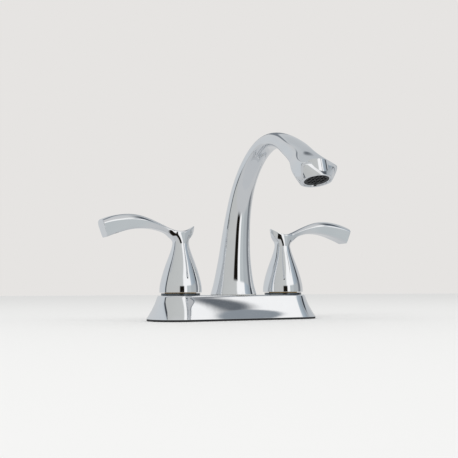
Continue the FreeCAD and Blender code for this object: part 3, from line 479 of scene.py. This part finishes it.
def buildSpout():
    form = spoutForm
    share = np.arange(form["columns"]) * 4 / form["columns"]
    part = share.astype(int)
    turn = np.where(part % 2 == 0, share - part, 1 - share + part)
    right, high = np.array([1, -1, -1, 1])[part], np.array([1, 1, -1, -1])[part]
    rows = np.array(form["stations"])
    rows[:, :2] = np.cumsum(rows[:, :2], 0)
    rows[:, 1] += form["foot"]
    along = np.concatenate([[0], np.cumsum(np.hypot(*np.diff(rows[:, :2], axis=0).T))])
    line = smoothLine(along, rows)

    def ring(reach, height, lean, wide, over, under, fullOver=ellipse, fullUnder=ellipse):
        across, rise = quarter(turn, np.where(high > 0, fullOver, fullUnder))
        deep = np.where(high > 0, over, -under) * rise
        tilt = np.radians(lean)
        ahead, up = deep * np.cos(tilt) - reach, deep * np.sin(tilt) + height
        return np.stack([right * wide * across, ahead, up], 1)

    def skin(where):
        # the outside at one distance along, or at one for each column
        return ring(*line(np.broadcast_to(where, turn.shape)).T)

    end, lean = along[-1], rows[-1, 2]
    outlet = np.array([0, -rows[-1, 0], rows[-1, 1]])
    tilt, lipTilt = math.radians(lean), math.radians(form["lipLean"])
    axis = np.array([0, math.sin(tilt), -math.cos(tilt)])
    lip = outlet + [0, -form["lipAhead"], form["lipRise"]]
    behind = np.array([0, math.cos(lipTilt), math.sin(lipTilt)])

    # where each column meets the lip's plane, or stops just above the outlet
    start = along[form["headFrom"]]
    fine = np.linspace(start, end, form["search"])
    ahead = np.array([(skin(s) - lip) @ behind for s in fine])
    above = np.array([(skin(s) - outlet) @ axis for s in fine])
    gone = (ahead < 0) | (above < form["lipAbove"])
    first = fine[np.argmax(gone, 0)]

    def low(level):
        return fine[np.argmax(above < level, 0)]

    rim = form["rim"]
    noseTop = outlet + axis * form["noseTall"]
    rimRing = ring(-outlet[1], outlet[2], lean, rim, rim, rim)
    topRing = ring(-noseTop[1], noseTop[2], lean, form["noseWide"], form["noseOver"], rim,
                   form["noseFull"])
    one, two = (rimRing - lip) @ behind, (topRing - lip) @ behind
    meet = np.clip(one / (one - two), 0, 1)[:, None]
    rise = quarter(turn, ellipse)[1]
    front = np.clip(np.where(high > 0, rise, 0) / form["noseFade"], 0, 1)
    front = (front * front * (3 - 2 * front))[:, None]
    lipEdge = skin(first)
    noseEdge = front * (rimRing + (topRing - rimRing) * meet)
    noseEdge = noseEdge + (1 - front) * skin(low(form["noseAbove"]))
    rimEdge = front * rimRing + (1 - front) * skin(end)

    def between(a, b, near, shares=()):
        # rings between two edges, with one held close to each of them
        far = np.linalg.norm(b - a, axis=1)[:, None]
        hold = np.minimum(near / far, 0.3)      # as a share, the same from either edge
        return [a + (b - a) * (hold + (1 - 2 * hold) * s) for s in (0, *shares, 1)]

    # outside: up the column, over the arch, to the lip and round the nose
    edge, ease = form["edge"], form["ease"]
    rings = [skin(0), skin(edge)]
    rings += [skin(s) for s in np.linspace(form["sheathFrom"], start, form["sheathRings"])]
    rings += [skin(start + (first - start) * f)
              for f in np.linspace(0, 1, form["headRings"] + 2)[1:-1]]
    rings += [skin(first - edge), lipEdge] + between(lipEdge, noseEdge, edge) + [noseEdge]
    rings += between(noseEdge, rimEdge, edge, (0.25, 0.5, 0.75)) + [rimEdge]

    def inside(up, radius):
        place = outlet + axis * up
        return ring(-place[1], place[2], lean, radius, radius, radius)

    # inside: the aerator's chamber, the waterway, the spigot's seat and the recess over the hub
    bore, chamber, water = form["bore"], form["chamber"], form["waterway"]
    rings += between(rimEdge, inside(0, bore), ease) + [inside(0, bore)]
    rings += [inside(h, bore) for h in (ease, *form["boreRings"], chamber - ease, chamber)]
    rings += [inside(chamber, r) for r in (bore - ease, form["throat"], water + ease, water)]
    rings.append(inside(chamber + ease, water))
    for s in np.linspace(start, along[form["waterFrom"]], form["waterRings"]):
        reach, height, tilt = line(s)[:3]
        rings.append(ring(reach, height, tilt, water, water, water))
    seat, seatLow, seatTop = form["seat"], form["seatLow"], form["seatTop"]
    recess, foot = form["recess"], form["foot"]
    for height, radius in (
            (seatTop + ease, water), (seatTop, water), (seatTop, water + ease),
            (seatTop, seat - ease), (seatTop, seat), (seatTop - ease, seat),
            (seatLow + ease, seat), (seatLow, seat), (seatLow, seat + ease),
            (seatLow, recess - ease), (seatLow, recess), (seatLow - ease, recess),
            (foot + ease, recess), (foot, recess), (foot, recess + ease),
            (foot, rows[0, 3] - edge)):
        rings.append(ring(0, height, 0, radius, radius, radius))
    points = np.concatenate(rings)
    count, columns = len(rings), form["columns"]
    faces = []
    for i in range(count):
        here, there = i * columns, (i + 1) % count * columns
        for j in range(columns):
            k = (j + 1) % columns
            faces.append((here + j, here + k, there + k, there + j))
    piece = soften(newPiece("spoutCasting", points, faces), 1)
    piece.data.materials.append(finish["polished chrome plate"])
    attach(piece, "spout")
    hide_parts("spout")


buildSpout()
print("spout cast")


# Handles: bell, saddle, horned tail and swept lever in one skin, drawn about the handle's own axis
handleForm = {
    # out from the axis, top and bottom above the neck, half width at crease and bottom, crown
    "lever": (
        (-12.2, 13.8, 10.4, 1.7, 1.0, 0.5), (-10.0, 12.5, 6.0, 3.9, 3.3, 0.7),
        (-6.0, 10.5, 1.5, 6.1, 5.6, 0.8), (0.0, 9.2, -0.5, 7.2, 6.9, 0.9),
        (6.0, 9.6, 0.5, 6.7, 6.2, 1.0), (11.0, 11.3, 5.2, 5.8, 4.8, 1.4),
        (17.0, 14.1, 8.2, 5.4, 4.2, 2.0), (25.0, 17.6, 10.1, 5.7, 4.3, 3.0),
        (35.0, 21.1, 10.6, 6.5, 4.9, 4.2), (46.0, 22.5, 9.3, 7.4, 5.7, 5.0),
        (58.0, 21.3, 5.6, 8.2, 6.4, 5.0), (66.0, 19.2, 2.6, 8.6, 6.8, 4.4),
        (73.0, 16.4, -1.0, 8.8, 7.0, 3.8),
    ),
    "topPoints": 7, "spread": 1.86, "dome": 3.99,      # how points lie over the lever's top
    "endReach": 72.2, "endRise": 17.0, "endLean": 17.0, "endEdge": 0.45, "endFlat": 1.6,
    "endSearch": 12,                   # steps that find the leaning end
    "endRows": ((0.3, 0), (0.6, 0), (0.85, 0), (1, 0.45), (1, 0)),     # share of the way, mm back
    "tailInset": 0.3,
    "rows": (
        -12.2, -11.7, -10.6, -9.0, -7.5, -6.0, -4.5, -3.0, -1.5, 0.0, 1.5, 3.0, 4.5,
        6.0, 8.0, 10.5, 13.5, 17.0, 21.0, 25.0, 30.0, 35.0, 40.0, 46.0, 52.0, 58.0,
    ),
    "saddle": (-6.0, 6.0),             # rows between which the bell joins from below
    "mouth": 7.3, "mouthPull": 0.65,
    "bell": (                          # height and radius
        (25.84, 18.30), (34.64, 17.05), (49.24, 12.55),
        (58.94, 8.95), (68.04, 6.9), (73.04, 7.5),
    ),
    "bellRows": (
        66.6, 64.5, 61.5, 58.5, 55.5, 52.5, 49.5, 46.0,
        42.5, 39.0, 35.5, 32.0, 29.0, 26.5, 24.5, 24.04,
    ),
    "bellSlopes": (0.0, 0.3),          # of the radius, at the foot and the top
    # height and radius, from the skirt's edge up inside and down round the boss
    "inside": (
        (24.04, 17.9), (24.04, 16.4), (24.04, 16.0), (24.5, 16.0), (25.84, 16.0),
        (30.0, 15.4), (34.64, 14.75), (39.0, 12.7), (42.5, 11.15), (46.0, 9.54),
        (49.5, 7.94), (51.4, 7.2), (51.0, 7.0), (45.0, 7.0), (38.9, 7.0),
        (38.5, 7.0), (38.5, 6.7), (38.5, 4.4), (38.5, 4.05), (38.9, 4.05),
        (46.0, 4.05), (54.1, 4.05), (54.5, 4.05), (54.5, 3.6), (54.5, 1.8),
    ),
    "innerWall": ((34.64, 14.75), (51.54, 7.0)),       # height and radius at both ends
    "screwHole": (46.0, 2.45), "screwEase": 0.3, "screwDepth": 0.9, "screwSwell": 1.06,
    "neck": 68.04, "sides": 24, "crease": 0.8, "lowCrease": 0.8,
    "creaseFrom": 8.0, "tailRows": 3,  # the underside is keen from here out and on the tail
}


def buildHandle(side, name):
    form = handleForm
    points, faces, creases = [], [], {}
    neck, sides = form["neck"], form["sides"]
    stations = np.array(form["lever"])
    line = smoothLine(stations[:, 0], stations)
    t = np.linspace(0, 1, form["topPoints"])

    def section(values):
        # points over the top, 0 to 6, and round the underside, 7 to 13
        out, top, bottom, wide, narrow, crown = values
        across = wide * (t ** 3 - (1 - t) ** 3 + form["spread"] * t * (1 - t) * (2 * t - 1))
        crease, foot = neck + top - crown, neck + bottom
        dome = [(out, y, crease + form["dome"] * crown * k * (1 - k)) for y, k in zip(across, t)]
        middle, half = (crease + foot) / 2, (wide + narrow) / 2
        under = [(out, half, middle), (out, narrow, foot), (out, narrow / 2, foot), (out, 0, foot),
                 (out, -narrow / 2, foot), (out, -narrow, foot), (out, -half, middle)]
        return np.array(dome + under)

    def leaningSection(outs):
        # each point at its own distance out
        return np.array([section(line(out))[j] for j, out in enumerate(outs)])

    def addRing(ring):
        points.extend(ring)
        return list(range(len(points) - len(ring), len(points)))

    def strip(one, two, skip=()):
        count = len(one)
        for j in range(count):
            if j not in skip:
                faces.append((one[j], one[(j + 1) % count], two[(j + 1) % count], two[j]))

    def closeEnd(ring):
        # top points joined to bottom points
        half = len(ring) // 2
        top, bottom = ring[:half], ring[half:][::-1]
        for j in range(half - 1):
            faces.append((top[j], top[j + 1], bottom[j + 1], bottom[j]))

    # lever, its last rows squeezed up to the leaning end
    rings = [section(line(out)) for out in form["rows"]]
    slope, last = math.tan(math.radians(form["endLean"])), form["rows"][-1]
    reach = np.full(len(rings[0]), form["endReach"])
    for step in range(form["endSearch"]):
        heights = leaningSection(reach)[:, 2] - neck
        reach = form["endReach"] + (heights - form["endRise"]) * slope
    for part, back in form["endRows"]:
        rings.append(leaningSection(last + (reach - last) * part - back))
    loops = [addRing(ring) for ring in rings]
    first, final = (form["rows"].index(out) for out in form["saddle"])
    for i, (loop, after) in enumerate(zip(loops, loops[1:])):
        strip(loop, after, (8, 9, 10, 11) if first <= i < final else ())
        out = form["rows"][min(i, len(form["rows"]) - 1)]
        whole = out >= form["creaseFrom"] or i < form["tailRows"]
        keen = {0: 1.0, 6: 1.0} if whole or i < final else {}
        if whole:
            keen.update({8: form["lowCrease"], 12: form["lowCrease"]})
        for j, amount in keen.items():
            creases[(loop[j], after[j])] = form["crease"] * amount
    gap = form["endEdge"]
    for ring, outer, insets in ((rings[0], loops[0], (form["tailInset"],)),
                                (rings[-1], loops[-1], (gap, gap + form["endFlat"]))):
        away = ring.mean(0) - ring
        for inset in insets:
            far = np.linalg.norm(away, axis=1).clip(inset * 1.3)     # stops short of the middle
            inner = addRing(ring + away * (inset / far)[:, None])
            strip(outer, inner)
            outer = inner
        closeEnd(outer)

    # the saddle's opening, taken round in step with the bell
    rows = range(final - 1, first, -1)
    mouth = [loops[final][j] for j in (10, 9, 8)] + [loops[i][8] for i in rows]
    mouth += [loops[first][j] for j in (8, 9, 10, 11, 12)] + [loops[i][12] for i in reversed(rows)]
    mouth += [loops[final][j] for j in (12, 11)]
    angles = np.arange(sides) * 2 * math.pi / sides
    swell = 3 / (2 + math.cos(2 * math.pi / sides))      # the soft surface lies inside its cage
    heights, radii = np.array(form["bell"]).T
    profile = smoothLine(heights, radii, form["bellSlopes"])

    def around(height, radius):
        across, along = radius * swell * np.cos(angles), radius * swell * np.sin(angles)
        return np.stack([across, along, np.full(sides, height)], 1)

    outline = [(z, float(profile(max(z, heights[0])))) for z in form["bellRows"]]
    turns = [addRing(around(*level)) for level in (*outline, *form["inside"])]
    wide, pull = form["mouth"], form["mouthPull"]
    for corner, angle in zip(mouth, angles):
        # drawn in towards a round neck
        spot = np.array([wide * math.cos(angle), wide * math.sin(angle), points[corner][2]])
        points[corner] = points[corner] * (1 - pull) + spot * pull
    strip(mouth, turns[0])
    screw, screwRadius = form["screwHole"]
    quarterTurn = sides // 4
    outerRow = [z for z, r in outline].index(screw)
    innerRow = len(outline) + [z for z, r in form["inside"]].index(screw)
    for i in range(len(turns) - 1):
        drilled = i in (outerRow - 1, outerRow, innerRow - 1, innerRow)
        strip(turns[i], turns[i + 1], (quarterTurn - 1, quarterTurn) if drilled else ())
    closeEnd(turns[-1])

    # set screw's hole through the wall, behind the lever
    ways = [(1, 1), (0, 1), (-1, 1), (-1, 0), (-1, -1), (0, -1), (1, -1), (1, 0)]

    def edgeOf(row, up):
        # the eight cage points round the hole, first row above or below
        return [turns[row - dz * up][quarterTurn - dx] for dx, dz in ways]

    def circle(radius, depth=None, wall=None):
        spots = []
        for dx, dz in ways:
            x, z = (radius * c / math.hypot(dx, dz) * form["screwSwell"] for c in (dx, dz))
            height = screw + z
            away = depth if depth is not None else math.sqrt(max(wall(height) ** 2 - x * x, 1))
            spots.append((x, away, height))
        return addRing(np.array(spots))

    def outerWall(height):
        return float(profile(height))

    def innerWall(height):
        low, high = form["innerWall"]
        return low[1] + (height - low[0]) * (high[1] - low[1]) / (high[0] - low[0])

    hole = [edgeOf(outerRow, 1), circle(screwRadius + form["screwEase"], wall=outerWall),
            circle(screwRadius, wall=outerWall),
            circle(screwRadius, depth=outerWall(screw) - form["screwDepth"]),
            circle(screwRadius, depth=innerWall(screw) + form["screwDepth"]),
            circle(screwRadius, wall=innerWall), edgeOf(innerRow, -1)]
    for one, two in zip(hole, hole[1:]):
        strip(one, two)

    places = np.array(points) * [side, 1, 1] + [side * handleCentre, 0, 0]
    piece = newPiece(name + "HandleCasting", places, faces, creases)
    # the cage points inside the saddle and the screw's hole carry no faces
    rework(piece, lambda shell: bmesh.ops.delete(
        shell, geom=[v for v in shell.verts if not v.link_faces], context="VERTS"))
    soften(piece, 2)
    piece.data.materials.append(finish["polished chrome plate"])
    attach(piece, name + "_handle")
    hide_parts(name + "_handle")


buildHandle(-1, "hot")
buildHandle(1, "cold")
print("handles cast")


def bake(host):
    # the finished mesh of a node tree, as a plain mesh
    graph = bpy.context.evaluated_depsgraph_get()
    mesh = bpy.data.meshes.new_from_object(host.evaluated_get(graph))
    host.modifiers.clear()
    old, host.data = host.data, mesh
    mesh.name = host.name
    bpy.data.meshes.remove(old)
    return host


def newTree(name, inputs):
    # a node tree with named sizes; gives the tree, its inputs and its arithmetic
    tree = bpy.data.node_groups.new(name, "GeometryNodeTree")
    tree.interface.new_socket("Geometry", in_out="OUTPUT", socket_type="NodeSocketGeometry")
    tree.interface.new_socket("Geometry", in_out="INPUT", socket_type="NodeSocketGeometry")
    kinds = {int: "NodeSocketInt", float: "NodeSocketFloat"}
    for title, value in inputs.items():
        kind = kinds.get(type(value), "NodeSocketMaterial")
        socket = tree.interface.new_socket(title, in_out="INPUT", socket_type=kind)
        if kind != "NodeSocketMaterial":
            socket.default_value = value
    return tree, tree.nodes.new("NodeGroupInput").outputs, partial(field, tree)


def grow(host, tree, inputs):
    # inputs go in by their sockets' identifiers, before the tree first runs
    modifier = host.modifiers.new(tree.name, "NODES")
    modifier.node_group = tree
    for socket in tree.interface.items_tree:
        if socket.in_out == "INPUT" and socket.name in inputs:
            modifier[socket.identifier] = inputs[socket.name]
    return bake(host)


def joined(tree, parts):
    whole = tree.nodes.new("GeometryNodeJoinGeometry")
    for part in parts:
        tree.links.new(part, whole.inputs[0])
    return whole.outputs[0]


def finishTree(tree, size, geometry, keenness):
    # smooth faces but for keen edges, in radians, then real geometry and its material
    angle = addNode(tree, "GeometryNodeInputMeshEdgeAngle")
    keen = field(tree, "GREATER_THAN", angle.outputs[0], keenness)
    smooth = addNode(tree, "GeometryNodeSetShadeSmooth", {"domain": "FACE"}, {"Geometry": geometry})
    sharp = addNode(tree, "GeometryNodeSetShadeSmooth", {"domain": "EDGE", "Shade Smooth": False},
                    {"Geometry": smooth.outputs[0], "Selection": keen})
    real = addNode(tree, "GeometryNodeRealizeInstances", links={"Geometry": sharp.outputs[0]})
    coat = addNode(tree, "GeometryNodeSetMaterial", links={
        "Geometry": real.outputs[0], "Material": size["Material"]})
    addNode(tree, "NodeGroupOutput", links={0: coat.outputs[0]})


# Base plate: rows of inset, height and corner radius, run round a rounded rectangle
plateForm = {
    "length": 158.4, "width": 56.6, "low": 1.5, "rise": 20.0, "wall": 2.5, "edge": 2.0,
    "inset": (-0.008, 0.625, 0.0),     # mm at a height, as a polynomial
    "corner": (-0.395, 24.4),          # and the corner's radius
    "footFrom": 0.4, "foot": ((0.08, 0.13), (0.2, 0.0)),
    "hole": 12.1, "straight": 1.5,
    "seam": 0.004, "joint": 0.02,      # points closer than this are made one
    "cornerSteps": 30, "rows": 24, "edgeRows": 9, "wallRows": 7, "holeSides": 64,
}


def plateTree(inputs):
    tree, size, calc = newTree("steppedPlate", inputs)
    rows, steps = size["Rows"], size["Corner steps"]
    perCorner = calc("ADD", steps, 3)
    around = calc("MULTIPLY", perCorner, 4)
    grid = addNode(tree, "GeometryNodeMeshGrid", links={
        "Vertices X": calc("ADD", around, 1), "Vertices Y": rows})
    index = addNode(tree, "GeometryNodeInputIndex").outputs[0]
    row = calc("FLOORED_MODULO", index, rows)
    column = calc("FLOOR", calc("DIVIDE", calc("ADD", index, 0.5), rows))
    column = calc("FLOORED_MODULO", column, around)
    corner = calc("FLOOR", calc("DIVIDE", calc("ADD", column, 0.5), perCorner))
    step = calc("FLOORED_MODULO", column, perCorner)
    # a column on the straight before and after each bend keeps the straight flat
    bent = calc("SUBTRACT", step, 1)
    turn = calc("MINIMUM", calc("MAXIMUM", bent, 0), steps)
    past = calc("ADD", calc("MAXIMUM", calc("SUBTRACT", bent, steps), 0), calc("MINIMUM", bent, 0))
    quarters = calc("ADD", corner, calc("DIVIDE", turn, steps))
    angle = calc("MULTIPLY", quarters, math.pi / 2)
    sine, cosine = calc("SINE", angle), calc("COSINE", angle)
    middle = calc("MULTIPLY", calc("ADD", corner, 0.5), math.pi / 2)
    across, along = (calc("SIGN", calc(kind, middle)) for kind in ("COSINE", "SINE"))
    # the host's points give each row's inset, height and corner radius
    place = addNode(tree, "GeometryNodeInputPosition").outputs[0]
    kind = {"data_type": "FLOAT_VECTOR", "domain": "POINT"}
    sample = addNode(tree, "GeometryNodeSampleIndex", kind, {
        "Geometry": size["Geometry"], "Index": row, "Value": place})
    parted = addNode(tree, "ShaderNodeSeparateXYZ", links={0: sample.outputs[0]}).outputs
    inset, height, radius = parted[0], parted[1], parted[2]
    back = calc("ADD", inset, radius)
    shift = calc("MULTIPLY", past, size["Straight"])

    def coordinate(sign, extent, way, slide):
        centre = calc("SUBTRACT", calc("MULTIPLY", extent, 0.5), back)
        centre = calc("MULTIPLY", sign, centre)
        bend = calc("ADD", centre, calc("MULTIPLY", radius, way))
        return calc("ADD", bend, calc("MULTIPLY", shift, slide))

    east = coordinate(across, size["Length"], cosine, calc("MULTIPLY", sine, -1))
    north = coordinate(along, size["Width"], sine, cosine)
    shaped = addNode(tree, "GeometryNodeSetPosition", links={
        "Geometry": grid.outputs[0], "Position": vector(tree, east, north, height)})
    kind = {"data_type": "FLOAT", "domain": "POINT", "Name": "row"}
    kept = addNode(tree, "GeometryNodeStoreNamedAttribute", kind, {
        "Geometry": shaped.outputs[0], "Value": row})
    closed = addNode(tree, "GeometryNodeMergeByDistance", {"Distance": plateForm["seam"] * mm},
                     {"Geometry": kept.outputs[0]})
    kind = {"data_type": "FLOAT", "Name": "row"}
    named = addNode(tree, "GeometryNodeInputNamedAttribute", kind).outputs[0]
    parts = [closed.outputs[0]]
    # the first and last row, closed by flat sheets with three holes
    last = calc("SUBTRACT", calc("SUBTRACT", rows, 1), 0.5)
    levels = ((calc("LESS_THAN", named, 0.5), size["Top"]),
              (calc("GREATER_THAN", named, last), size["Roof"]))
    for chosen, level in levels:
        rim = addNode(tree, "GeometryNodeMeshToCurve", links={
            "Mesh": closed.outputs[0], "Selection": chosen})
        rings = [rim.outputs[0]]
        for side in (-1.0, 0.0, 1.0):
            circle = addNode(tree, "GeometryNodeCurvePrimitiveCircle", links={
                "Resolution": size["Hole sides"], "Radius": size["Hole"]})
            beside = vector(tree, calc("MULTIPLY", size["Centres"], side), 0.0, 0.0)
            rings.append(addNode(tree, "GeometryNodeTransform", links={
                "Geometry": circle.outputs[0], "Translation": beside}).outputs[0])
        sheet = addNode(tree, "GeometryNodeFillCurve", {"mode": "TRIANGLES"}, {
            "Curve": joined(tree, rings)})
        spread = addNode(tree, "ShaderNodeSeparateXYZ", links={0: place}).outputs
        raised = vector(tree, spread[0], spread[1], level)
        parts.append(addNode(tree, "GeometryNodeSetPosition", links={
            "Geometry": sheet.outputs[0], "Position": raised}).outputs[0])
    for side in (-1.0, 0.0, 1.0):
        tube = addNode(tree, "GeometryNodeMeshCylinder", {"fill_type": "NONE"}, {
            "Vertices": size["Hole sides"], "Radius": size["Hole"],
            "Depth": calc("SUBTRACT", size["Top"], size["Roof"])})
        middle = calc("MULTIPLY", calc("ADD", size["Top"], size["Roof"]), 0.5)
        beside = vector(tree, calc("MULTIPLY", size["Centres"], side), 0.0, middle)
        parts.append(addNode(tree, "GeometryNodeTransform", links={
            "Geometry": tube.outputs[0], "Translation": beside}).outputs[0])
    merged = addNode(tree, "GeometryNodeMergeByDistance", {"Distance": plateForm["joint"] * mm},
                     {"Geometry": joined(tree, parts)})
    finishTree(tree, size, merged.outputs[0], keenness=0.6)
    return tree


def buildPlate():
    form = plateForm
    low, rise, edge, wall = form["low"], form["rise"], form["edge"], form["wall"]
    inset, corner = np.poly1d(form["inset"]), np.poly1d(form["corner"])
    lean = math.atan(inset.deriv()(rise))
    shoulder = rise - edge * (1 - math.sin(lean))
    centre = inset(shoulder) + edge * math.cos(lean)
    side = [(centre - edge * math.cos(a), rise - edge + edge * math.sin(a))
            for a in np.linspace(math.pi / 2, lean, form["edgeRows"])]
    side += [(inset(h), h) for h in np.linspace(shoulder, form["footFrom"], form["rows"])[1:]]
    side += [*form["foot"], (wall, 0.0)]
    side += [(inset(h) + wall, h) for h in np.linspace(0, rise - wall, form["wallRows"] + 1)[1:]]
    mesh = bpy.data.meshes.new("basePlateShell")
    mesh.from_pydata([(x * mm, (low + h) * mm, (corner(h) - x + inset(h)) * mm) for x, h in side],
                     [(k, k + 1) for k in range(len(side) - 1)], [])
    piece = bpy.data.objects.new("basePlateShell", mesh)
    scene.collection.objects.link(piece)
    inputs = {
        "Length": form["length"] * mm, "Width": form["width"] * mm,
        "Corner steps": form["cornerSteps"], "Rows": len(side), "Straight": form["straight"] * mm,
        "Top": (low + rise) * mm, "Roof": (low + rise - wall) * mm, "Centres": handleCentre * mm,
        "Hole": form["hole"] * mm, "Hole sides": form["holeSides"],
        "Material": finish["polished chrome plate"],
    }
    grow(piece, plateTree(inputs), inputs)
    turnOutwards(piece)
    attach(piece, "base")
    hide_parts("base_plate")


buildPlate()
print("plate made")


# Threads: one ridge wound round each shank and its supply end
threadForm = {
    "pitch": 1.81, "ridge": 0.5, "sunk": 0.18, "stepsRound": 36, "ridgeSides": 4,
    "runs": (("Shank", 11.0, -38.9, -0.6), ("Supply", 10.45, -51.4, -40.2)),   # radius, low, high
}


def threadTree(inputs):
    tree, size, calc = newTree("woundRidge", inputs)
    form = threadForm
    coil = addNode(tree, "GeometryNodeCurveSpiral", {"Resolution": form["stepsRound"]}, {
        "Rotations": calc("DIVIDE", size["Run"], size["Pitch"]), "Height": size["Run"],
        "Start Radius": size["Radius"], "End Radius": size["Radius"]})
    upright = addNode(tree, "GeometryNodeSetCurveNormal", {"mode": "Z_UP"}, {
        "Curve": coil.outputs[0]})
    diamond = addNode(tree, "GeometryNodeCurvePrimitiveCircle", {
        "Resolution": form["ridgeSides"]}, {"Radius": size["Ridge"]})
    swept = addNode(tree, "GeometryNodeCurveToMesh", {"Fill Caps": True}, {
        "Curve": upright.outputs[0], "Profile Curve": diamond.outputs[0]})
    spot = vector(tree, size["Across"], 0.0, size["Low"])
    placed = addNode(tree, "GeometryNodeTransform", links={
        "Geometry": swept.outputs[0], "Translation": spot})
    finishTree(tree, size, placed.outputs[0], keenness=0.9)
    return tree


def buildThreads():
    form = threadForm
    tree = None
    for side, name in ((-1, "hot"), (1, "cold")):
        for title, radius, low, high in form["runs"]:
            piece = newPiece(name + title + "Thread", [(0, 0, 0)], [])
            inputs = {
                "Pitch": form["pitch"] * mm, "Radius": (radius - form["sunk"]) * mm,
                "Ridge": form["ridge"] * mm, "Low": low * mm, "Run": (high - low) * mm,
                "Across": side * handleCentre * mm, "Material": finish["turned brass"],
            }
            tree = tree or threadTree(inputs)
            grow(piece, tree, inputs)
            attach(piece, "base")


buildThreads()
print("threads wound")


# Aerator screen: two sets of wires, each bent over and under the other, in a rolled rim
screenForm = {
    "outlet": (0, -138.7, 104.9), "axis": (0.0, 0.2554, 0.9668), "level": 4.85,
    "radius": 9.45, "spacing": 0.95, "wire": 0.11, "wave": 0.12, "rim": 0.24,
    "wireSides": 5, "wirePoints": 81, "rimSides": 8, "rimSteps": 72,
}


def screenTree(inputs):
    tree, size, calc = newTree("wovenScreen", inputs)
    form = screenForm
    place = addNode(tree, "GeometryNodeInputPosition").outputs[0]
    profile, rim, bead = (
        addNode(tree, "GeometryNodeCurvePrimitiveCircle", {"Resolution": form[steps]}, {
            "Radius": size[radius]}).outputs[0]
        for steps, radius in (("wireSides", "Wire"), ("rimSteps", "Radius"), ("rimSides", "Rim")))
    parts = [addNode(tree, "GeometryNodeCurveToMesh", links={
        "Curve": rim, "Profile Curve": bead}).outputs[0]]
    for half, way in ((0.0, 1.0), (0.5, -1.0)):
        # stations along y, each given a wire as long as the disc is wide there
        before = calc("MULTIPLY", calc("SUBTRACT", size["Wires"], 1), 0.5)
        start = calc("MULTIPLY", size["Spacing"], calc("SUBTRACT", half, before))
        stations = addNode(tree, "GeometryNodeMeshLine", {"mode": "OFFSET"}, {
            "Count": size["Wires"], "Start Location": vector(tree, 0.0, start, 0.0),
            "Offset": vector(tree, 0.0, size["Spacing"], 0.0)})
        parted = addNode(tree, "ShaderNodeSeparateXYZ", links={0: place}).outputs
        room = calc("SUBTRACT", calc("POWER", size["Radius"], 2), calc("POWER", parted[1], 2))
        reach = calc("SQRT", calc("MAXIMUM", room, 0.0))
        line = addNode(tree, "GeometryNodeCurvePrimitiveLine", {
            "Start": (-1, 0, 0), "End": (1, 0, 0)})
        divided = addNode(tree, "GeometryNodeResampleCurve", {"Count": form["wirePoints"]}, {
            "Curve": line.outputs[0]})
        wires = addNode(tree, "GeometryNodeInstanceOnPoints", links={
            "Points": stations.outputs[0], "Instance": divided.outputs[0],
            "Scale": vector(tree, reach, 1.0, 1.0),
            "Selection": calc("GREATER_THAN", room, mm ** 2)})
        loose = addNode(tree, "GeometryNodeRealizeInstances", links={"Geometry": wires.outputs[0]})
        angles = [calc("MULTIPLY", calc("DIVIDE", part, size["Spacing"]), math.pi)
                  for part in parted[:2]]
        one, two = angles if way > 0 else angles[::-1]
        wave = calc("MULTIPLY", calc("SINE", one), calc("COSINE", two))
        rise = calc("MULTIPLY", calc("MULTIPLY", wave, size["Wave"]), way)
        bent = addNode(tree, "GeometryNodeSetPosition", links={
            "Geometry": loose.outputs[0], "Offset": vector(tree, 0.0, 0.0, rise)})
        swept = addNode(tree, "GeometryNodeCurveToMesh", {"Fill Caps": True}, {
            "Curve": bent.outputs[0], "Profile Curve": profile})
        # the second set is turned across the first
        turned = addNode(tree, "GeometryNodeTransform", {
            "Rotation": (0.0, 0.0, 0.0 if way > 0 else math.pi / 2), "Scale": (1.0, way, 1.0)},
            {"Geometry": swept.outputs[0]})
        parts.append(turned.outputs[0])
    finishTree(tree, size, joined(tree, parts), keenness=1.3)
    return tree


def buildScreen():
    form = screenForm
    piece = newPiece("wovenScreen", [(0, 0, 0)], [])
    inputs = {name.capitalize(): form[name] * mm
              for name in ("radius", "spacing", "wire", "wave", "rim")}
    inputs["Wires"] = 2 * int(form["radius"] / form["spacing"]) + 1
    inputs["Material"] = finish["bright stainless steel"]
    grow(piece, screenTree(inputs), inputs)
    axis = Vector(form["axis"]).normalized()
    tilt = Vector((0, 0, 1)).rotation_difference(axis).to_matrix().to_4x4()
    centre = Vector(form["outlet"]) + axis * form["level"]
    piece.data.transform(Matrix.Translation(centre * mm) @ tilt)
    turnOutwards(piece)
    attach(piece, "spout")
    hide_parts("aerator_screen")


buildScreen()
print("screen woven")
